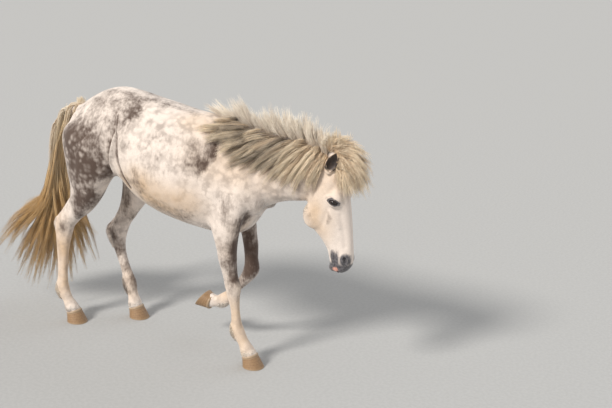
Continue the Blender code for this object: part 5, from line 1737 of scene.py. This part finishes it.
class MESH_OT_horse_skin(bpy.types.Operator):
    """One continuous skin over head, neck, body, legs and dock, with ears, lids, nostrils and folds"""

    bl_idname = "mesh.horse_skin"
    bl_label = "Skin"

    def execute(self, context):
        sizes, colours = context.scene.horse_sizes, context.scene.horse_colours
        body = flesh()
        for side in (RIGHT, LEFT):
            ear = loft("ear_form", ear_rings(side, 0.0, 0.995, 1.0, 1.0, 0.0))
            cup = loft("ear_cup", ear_rings(side, 0.12, 0.955, 0.82, 0.92, 0.62, 0.3))
            cut(ear, cup)
            cut(body, ear, "UNION")
        eyes = [eye_frame(side)[0] for side in (RIGHT, LEFT)]
        nostrils = [on_side(NOSTRIL_CENTRE, side) for side in (RIGHT, LEFT)]

        def close_by(centres, reach):
            return lambda p: np.minimum.reduce([np.linalg.norm(p - c, axis=1) for c in centres]) < reach

        refine(body, lambda p: (p[:, 0] > HEAD_START) & (p[:, 2] < 1.09))
        refine(body, close_by(eyes, 0.046))
        refine(body, close_by(nostrils, 0.032))
        refine(body, close_by(eyes, 0.034))
        points = points_of(body)
        for shaped in (shape_folds, shape_mouth):
            points = shaped(points, normals_of(body))
            put_points(body, points)
        points = shape_nostrils(points, normals_of(body))
        thin = (points[:, 2] < LEG_TOP) | (points[:, 0] > HEAD_START)
        depth = np.where(thin, sizes.leg_coat_depth, sizes.coat_depth)
        points = points - normals_of(body) * depth[:, None]
        points = shape_eyes(points, sizes.eye_radius)
        put_points(body, points)
        pick(body)
        bpy.ops.object.mode_set(mode="EDIT")
        bpy.ops.mesh.select_all(action="SELECT")
        bpy.ops.mesh.quads_convert_to_tris()
        bpy.ops.mesh.normals_make_consistent(inside=False)
        body.data.uv_layers.new(name="OFBake")
        bpy.ops.uv.smart_project(angle_limit=math.radians(66), island_margin=0.002)
        bpy.ops.object.mode_set(mode="OBJECT")
        body.data.shade_smooth()
        mark(body)
        dressed(body, coat_material(colours))
        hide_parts(*FLESH_NODES)
        return {"FINISHED"}


class MESH_OT_horse_tufts(bpy.types.Operator):
    """Short tufts at fetlocks, coronets, hocks, elbows, belly, chest, throat and buttocks"""

    bl_idname = "mesh.horse_tufts"
    bl_label = "Coat tufts"

    def execute(self, context):
        skin = the_skin()
        rng = np.random.default_rng(11)
        rows, ways, lengths, lifts = tuft_rows(skin, rng)
        high = skin.points[rows, 2] > LEG_TUFTS_TOP
        for name, chosen in (("tufts_legs", ~high), ("tufts_body", high)):
            made = tufts(name, skin, rows[chosen], ways[chosen], lengths[chosen], lifts[chosen], rng)
            # The tufts' coat colours are lifted by 0.9 as painted light.
            dressed(made, coat_material(context.scene.horse_colours, "coat_tufts", 0.9))
        return {"FINISHED"}


class MESH_OT_horse_mane(bpy.types.Operator):
    """The mane, parted along the crest: down the near side, blown up, and over the far side"""

    bl_idname = "mesh.horse_mane"
    bl_label = "Mane"

    def execute(self, context):
        skin = the_skin()
        sizes, colours = context.scene.horse_sizes, context.scene.horse_colours
        surface = hair_material("mane_strands", (0.82, 0.6, 0.38, 1), tuple(colours.mane),
                                (0.112, 0.072, 0.05, 1), (0.5, 0.34, 0.21, 1))
        pale = hair_material("mane_fan_strands", (0.56, 0.42, 0.3, 1), (0.95, 0.86, 0.73, 1),
                             (0.13, 0.09, 0.068, 1), (0.56, 0.45, 0.35, 1))
        rng = np.random.default_rng(21)

        # Root and bunch darkness: partly darker hair, partly painted shade at the parting and between the
        # rear bunches.
        def near_shade(roots, tips):
            rear = smoothstep(0.68, 0.5, tips[:, 0]) * smoothstep(0.14, 0.26, tips[:, 0])
            return 0.26 + 0.3 * rear, 0.1 + 1.05 * rear

        # Darker roots just above the parting: partly darker hair, partly painted shade.
        def fan_shade(roots, tips):
            middle = smoothstep(0.34, 0.42, roots[:, 0]) * smoothstep(0.66, 0.5, roots[:, 0])
            return 0.24 + 0.66 * middle, 0.05 + 0.35 * middle

        count, width = sizes.mane_strands, sizes.strand_width
        near = forked(rng, mane_guides(skin, RIGHT, 34, rng), 6, 0.01, 0.003)
        fan = forked(rng, fan_guides(40, rng), 4, 0.01, 0.004)
        far = forked(rng, far_guides(skin, 8, rng) + mane_guides(skin, LEFT, 22, rng), 4, 0.01, 0.004)
        half = len(near) // 2
        pieces = (
            ("mane_near_front", near[:half], count, NEAR_SPREAD, near_shade, surface, 5600),
            ("mane_near_rear", near[half:], count, NEAR_SPREAD, near_shade, surface, 5600),
            ("mane_fan", fan, 38, (0.007, 0.015, 0.014), fan_shade, pale, 5600),
            ("mane_far", far, 30, (0.008, 0.016, 0.012), near_shade, surface, 3500),
        )
        for seed, (name, guides, strands_each, spread, shade, finish, limit) in enumerate(pieces):
            made = hair(name, skin, guides, 31 + seed, strands_each, spread, MANE_WAVE, shorten=0.55,
                        width=width, least=(0.001, 0.008), shade=shade, steps=6, limit=limit)
            dressed(made, finish)
        return {"FINISHED"}


class MESH_OT_horse_forelock(bpy.types.Operator):
    """The big rounded forelock between the ears"""

    bl_idname = "mesh.horse_forelock"
    bl_label = "Forelock"

    def execute(self, context):
        skin = the_skin()
        width = context.scene.horse_sizes.strand_width
        surface = hair_material("forelock_strands", (0.9, 0.66, 0.42, 1), (0.99, 0.84, 0.63, 1),
                                (0.19, 0.12, 0.074, 1), (0.62, 0.43, 0.26, 1))
        rng = np.random.default_rng(41)
        guides = forked(rng, forelock_guides(skin, rng), 6, 0.009, 0.003)

        # Even darkening of roots and bunches: partly darker hair, partly painted shade.
        def shade(roots, tips):
            return np.full(len(roots), 0.26), np.full(len(roots), 0.24)

        made = hair("forelock", skin, guides, 42, 20, (0.007, 0.012, 0.011), MANE_WAVE, shorten=0.38,
                    width=width, least=(0.001, 0.006), shade=shade, limit=5000)
        dressed(made, surface)
        return {"FINISHED"}


class MESH_OT_horse_tail(bpy.types.Operator):
    """The long tail, blown back from the dock"""

    bl_idname = "mesh.horse_tail"
    bl_label = "Tail"

    def execute(self, context):
        skin = the_skin()
        width, tip = context.scene.horse_sizes.strand_width, context.scene.horse_colours.tail
        surface = hair_material("tail_strands", (0.88, 0.7, 0.45, 1), tuple(tip),
                                (0.15, 0.085, 0.04, 1), (0.42, 0.25, 0.1, 1))

        # Darker bunches, most on the inner ones near the legs: partly darker hair, partly painted shade.
        def shade(roots, tips):
            inner = smoothstep(-1.05, -0.75, tips[:, 0])
            return np.full(len(roots), 0.05), 0.2 + 0.35 * inner

        def no_shade(roots, tips):
            return np.zeros(len(roots)), np.zeros(len(roots))

        rng = np.random.default_rng(51)
        cover = hair("tail_head", skin, dock_guides(rng, 24), 50, 60, (0.008, 0.014, 0.008), (0.006, 1.0),
                     shorten=0.5, width=width, least=(0.001, 0.006), shade=no_shade, limit=5200)
        dressed(cover, hair_material("tail_head_strands", (0.92, 0.82, 0.68, 1), (0.84, 0.7, 0.5, 1),
                                     (0.2, 0.13, 0.08, 1), (0.62, 0.46, 0.3, 1)))
        inner, outer = TAIL_BUNCHES[OUTER_BUNCHES:], TAIL_BUNCHES[:OUTER_BUNCHES]
        for seed, (name, rows) in enumerate((("tail_inner", inner), ("tail_outer", outer))):
            guides = forked(rng, tail_guides(rows), 12, 0.017, 0.016)
            made = hair(name, skin, guides, 52 + seed, 56, (0.004, 0.01, 0.009), TAIL_WAVE, shorten=0.5,
                        width=width * 1.1, least=(0.001, 0.01), shade=shade, limit=4700)
            dressed(made, surface)
        return {"FINISHED"}


class MESH_OT_horse_eyes(bpy.types.Operator):
    """Two eyeballs with bulging clear fronts, set behind the lids"""

    bl_idname = "mesh.horse_eyes"
    bl_label = "Eyes"

    def execute(self, context):
        radius = context.scene.horse_sizes.eye_radius
        for side, word in ((RIGHT, "right"), (LEFT, "left")):
            made = ball(f"eyeball_{word}", (0, 0, 0), (radius, radius, radius), 0.0, *EYEBALL_STEPS)
            centre, look, along, over = eye_frame(side)
            points = points_of(made)
            away = np.degrees(np.arccos(np.clip(points[:, 2] / radius, -1, 1)))
            bulge = CORNEA_BULGE * smoothstep(38.0, 12.0, away)
            points *= (1 + bulge / radius)[:, None]
            out = away / IRIS_EDGE
            turn = np.arctan2(points[:, 1], points[:, 0])
            pupil = np.hypot(points[:, 0] / PUPIL_RADII[0], points[:, 1] / PUPIL_RADII[1])
            pupil = np.where(points[:, 2] > 0, pupil, 9.0)
            handed = np.cross(over, look)
            handed = handed if handed @ along > 0 else -handed
            axes = np.stack([handed, np.cross(look, handed), look])
            put_points(made, centre + points @ axes)
            write_field(made.data, "out", out)
            write_field(made.data, "turn", np.cos(turn * 3.0) + 0.4 * np.sin(turn * 5.0))
            write_field(made.data, "pupil", pupil)
            made.data.shade_smooth()
            dressed(made, eye_material())
            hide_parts(f"eye_{word}")
        return {"FINISHED"}


def hoof_outline(count):
    """The round toe and narrower, squarer heels of a hoof, with half axes of 1."""
    outline = []
    for k in range(count):
        angle = 2 * math.pi * k / count
        c, s = math.cos(angle), math.sin(angle)
        power, reach = (0.9, 1.0) if c > 0 else (0.72, 0.86)
        outline.append((math.copysign(abs(c) ** power, c) * reach, s * (1 - 0.1 * max(0, -c))))
    return outline


def hoof_piece(name, spec):
    """A hoof: coronet band, wall with growth rings, bearing rim, hollow sole and frog."""
    x, y, z, pitch = spec
    turned = Matrix.Rotation(math.radians(pitch), 3, "Y")
    forward, up = turned @ Vector((1, 0, 0)), turned @ Vector((0, 0, 1))
    sole = Vector((x, y, z))
    centre = sole - forward * CORONET_BEHIND + up * CORONET_HEIGHT
    normal = (up * math.cos(CORONET_SLOPE) - forward * math.sin(CORONET_SLOPE)).normalized()
    side = Vector((0, 1, 0))
    along = side.cross(normal).normalized()
    along = along if along.dot(forward) > 0 else -along
    outline = hoof_outline(HOOF_POINTS)
    rings, rise, under = [], [], []

    def ground(share, depth):
        row = []
        for fore, out in outline:
            lift = depth
            if depth > 0 and fore < 0.25:
                frog = max(0.0, 1 - abs(out) * share / max(0.06, 0.36 - 0.28 * (fore * share + 0.86)))
                lift = depth * (1 - 0.7 * frog)
            flat = forward * (SOLE_FORE * fore * share) + side * (SOLE_SIDE * out * share)
            row.append(sole + flat + up * lift)
        return row

    for share, depth in SOLE_ROWS:
        rings.append(ground(share, depth))
        rise.append(0.0)
        under.append(1.0)
    for k in range(WALL_STEPS + 1):
        t = k / WALL_STEPS
        start = min(1.0, t * 8)
        wave = 0.0003 * math.sin(t * 29.0) * (1 - t) * start + 0.00015 * math.sin(t * 71.0) * start
        band = 0.003 * math.exp(-(((t - 0.93) / 0.06) ** 2))
        row = []
        for fore, out in outline:
            low = sole + forward * (SOLE_FORE * fore) + side * (SOLE_SIDE * out) + up * 0.0012
            high = centre + along * (CORONET_FORE * fore) + side * (CORONET_SIDE * out)
            outward = (forward * fore + side * out).normalized()
            row.append(low.lerp(high, t) + outward * (wave + band))
        rings.append(row)
        rise.append(t)
        under.append(0.0)
    for share, drop in ((0.93, 0.003), (0.7, 0.006), (0.02, 0.008)):
        rings.append([
            centre + along * (CORONET_FORE * fore * share) + side * (CORONET_SIDE * out * share)
            + normal * (0.004 - drop) for fore, out in outline
        ])
        rise.append(1.0)
        under.append(0.0)
    made = loft(name, rings)
    around = np.array([math.atan2(out, fore) for fore, out in outline])
    write_field(made.data, "rise", np.repeat(rise, len(outline)))
    write_field(made.data, "sole", np.repeat(under, len(outline)))
    write_field(made.data, "turn", np.tile(np.abs(around), len(rings)))
    pick(made)
    bpy.ops.object.shade_smooth_by_angle(angle=math.radians(50))
    return made


class MESH_OT_horse_hooves(bpy.types.Operator):
    """Four unshod hooves"""

    bl_idname = "mesh.horse_hooves"
    bl_label = "Hooves"

    def execute(self, context):
        for node, spec in HOOVES.items():
            made = hoof_piece(node.replace("hoof", "horn"), spec)
            dressed(made, horn_material(context.scene.horse_colours))
            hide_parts(node)
        return {"FINISHED"}


def soft_lamp(name, place, aim, breadth, power, colour):
    """A broad, even lamp far away that shines the way from a place to an aim; breadth in degrees."""
    data = bpy.data.lights.new(name, "SUN")
    data.angle, data.energy, data.color = math.radians(breadth), power, colour
    made = linked(name, data)
    made.location = place
    made.rotation_euler = (Vector(aim) - Vector(place)).to_track_quat("-Z", "Y").to_euler()


STUDIO_AIR = 0.6
FLOOR_SIZE = 60.0
# Lamps: name, place, aim, breadth in degrees, power, colour.
LAMPS = (
    ("key_lamp", (-1.4, -4.0, 4.3), (0.1, 0.0, 0.8), 13.0, 3.0, (1.0, 0.955, 0.89)),
    ("rear_lamp", (1.5, 4.5, 4.2), (0.2, 0.0, 0.9), 50.0, 0.55, (0.94, 0.97, 1.0)),
)
CAMERA_PLACE = (3.124, -4.693, 2.526)
CAMERA_LOOK = (-0.434, 0.852, -0.293)
CAMERA_LENS = 64.99
CAMERA_SENSOR = 36.0
CAMERA_FAR = 200.0
CAMERA_ROLL = math.radians(2.92)


class MESH_OT_horse_studio(bpy.types.Operator):
    """Pale floor, soft lamps and the camera in the photograph's place"""

    bl_idname = "mesh.horse_studio"
    bl_label = "Studio"

    def execute(self, context):
        scene = context.scene
        clear_selection()
        bpy.ops.mesh.primitive_plane_add(size=FLOOR_SIZE, location=(0, 0, 0))
        floor = bpy.context.object
        floor.name = floor.data.name = "studio_floor"
        floor.data.materials.append(floor_material(scene.horse_colours))
        world = bpy.data.worlds.new("studio_air")
        world.use_nodes = True
        air = world.node_tree.nodes["Background"].inputs
        air["Color"].default_value = (1.0, 0.99, 0.98, 1)
        air["Strength"].default_value = STUDIO_AIR
        scene.world = world
        for lamp in LAMPS:
            soft_lamp(*lamp)
        data = bpy.data.cameras.new("photo_camera")
        data.sensor_width, data.lens, data.clip_end = CAMERA_SENSOR, CAMERA_LENS, CAMERA_FAR
        camera = linked("photo_camera", data)
        look = Vector(CAMERA_LOOK).normalized()
        right = look.cross(Vector((0, 0, 1))).normalized()
        over = right.cross(look)
        c, s = math.cos(CAMERA_ROLL), math.sin(CAMERA_ROLL)
        stand = Matrix((right * c + over * s, over * c - right * s, -look)).transposed().to_4x4()
        stand.translation = Vector(CAMERA_PLACE) + SETTLE
        camera.matrix_world = stand
        scene.camera = camera
        scene.view_settings.view_transform = "Standard"
        return {"FINISHED"}


PIECES = (
    MESH_OT_horse_skin,
    MESH_OT_horse_tufts,
    MESH_OT_horse_mane,
    MESH_OT_horse_forelock,
    MESH_OT_horse_tail,
    MESH_OT_horse_eyes,
    MESH_OT_horse_hooves,
    MESH_OT_horse_studio,
)


class VIEW3D_PT_horse(bpy.types.Panel):
    """The horse's pieces, sizes and colours"""

    bl_label = "Icelandic horse"
    bl_space_type = "VIEW_3D"
    bl_region_type = "UI"
    bl_category = "Horse"

    def draw(self, context):
        layout = self.layout
        for piece in PIECES:
            layout.operator(piece.bl_idname)
        for group in (context.scene.horse_sizes, context.scene.horse_colours):
            for key in group.__annotations__:
                layout.prop(group, key)


CLASSES = (HorseSizes, HorseColours, *PIECES, VIEW3D_PT_horse)


def register():
    """Registers the classes and hangs the settings on the scene."""
    for kind in CLASSES:
        bpy.utils.register_class(kind)
    bpy.types.Scene.horse_sizes = bpy.props.PointerProperty(type=HorseSizes)
    bpy.types.Scene.horse_colours = bpy.props.PointerProperty(type=HorseColours)


def unregister():
    """Takes the settings and the classes away again."""
    del bpy.types.Scene.horse_colours
    del bpy.types.Scene.horse_sizes
    for kind in reversed(CLASSES):
        bpy.utils.unregister_class(kind)


def main():
    """Makes every piece in order."""
    register()
    bpy.ops.mesh.horse_skin()
    bpy.ops.mesh.horse_tufts()
    bpy.ops.mesh.horse_mane()
    bpy.ops.mesh.horse_forelock()
    bpy.ops.mesh.horse_tail()
    bpy.ops.mesh.horse_eyes()
    bpy.ops.mesh.horse_hooves()
    bpy.ops.mesh.horse_studio()
    clear_selection()


if __name__ == "__main__":
    main()
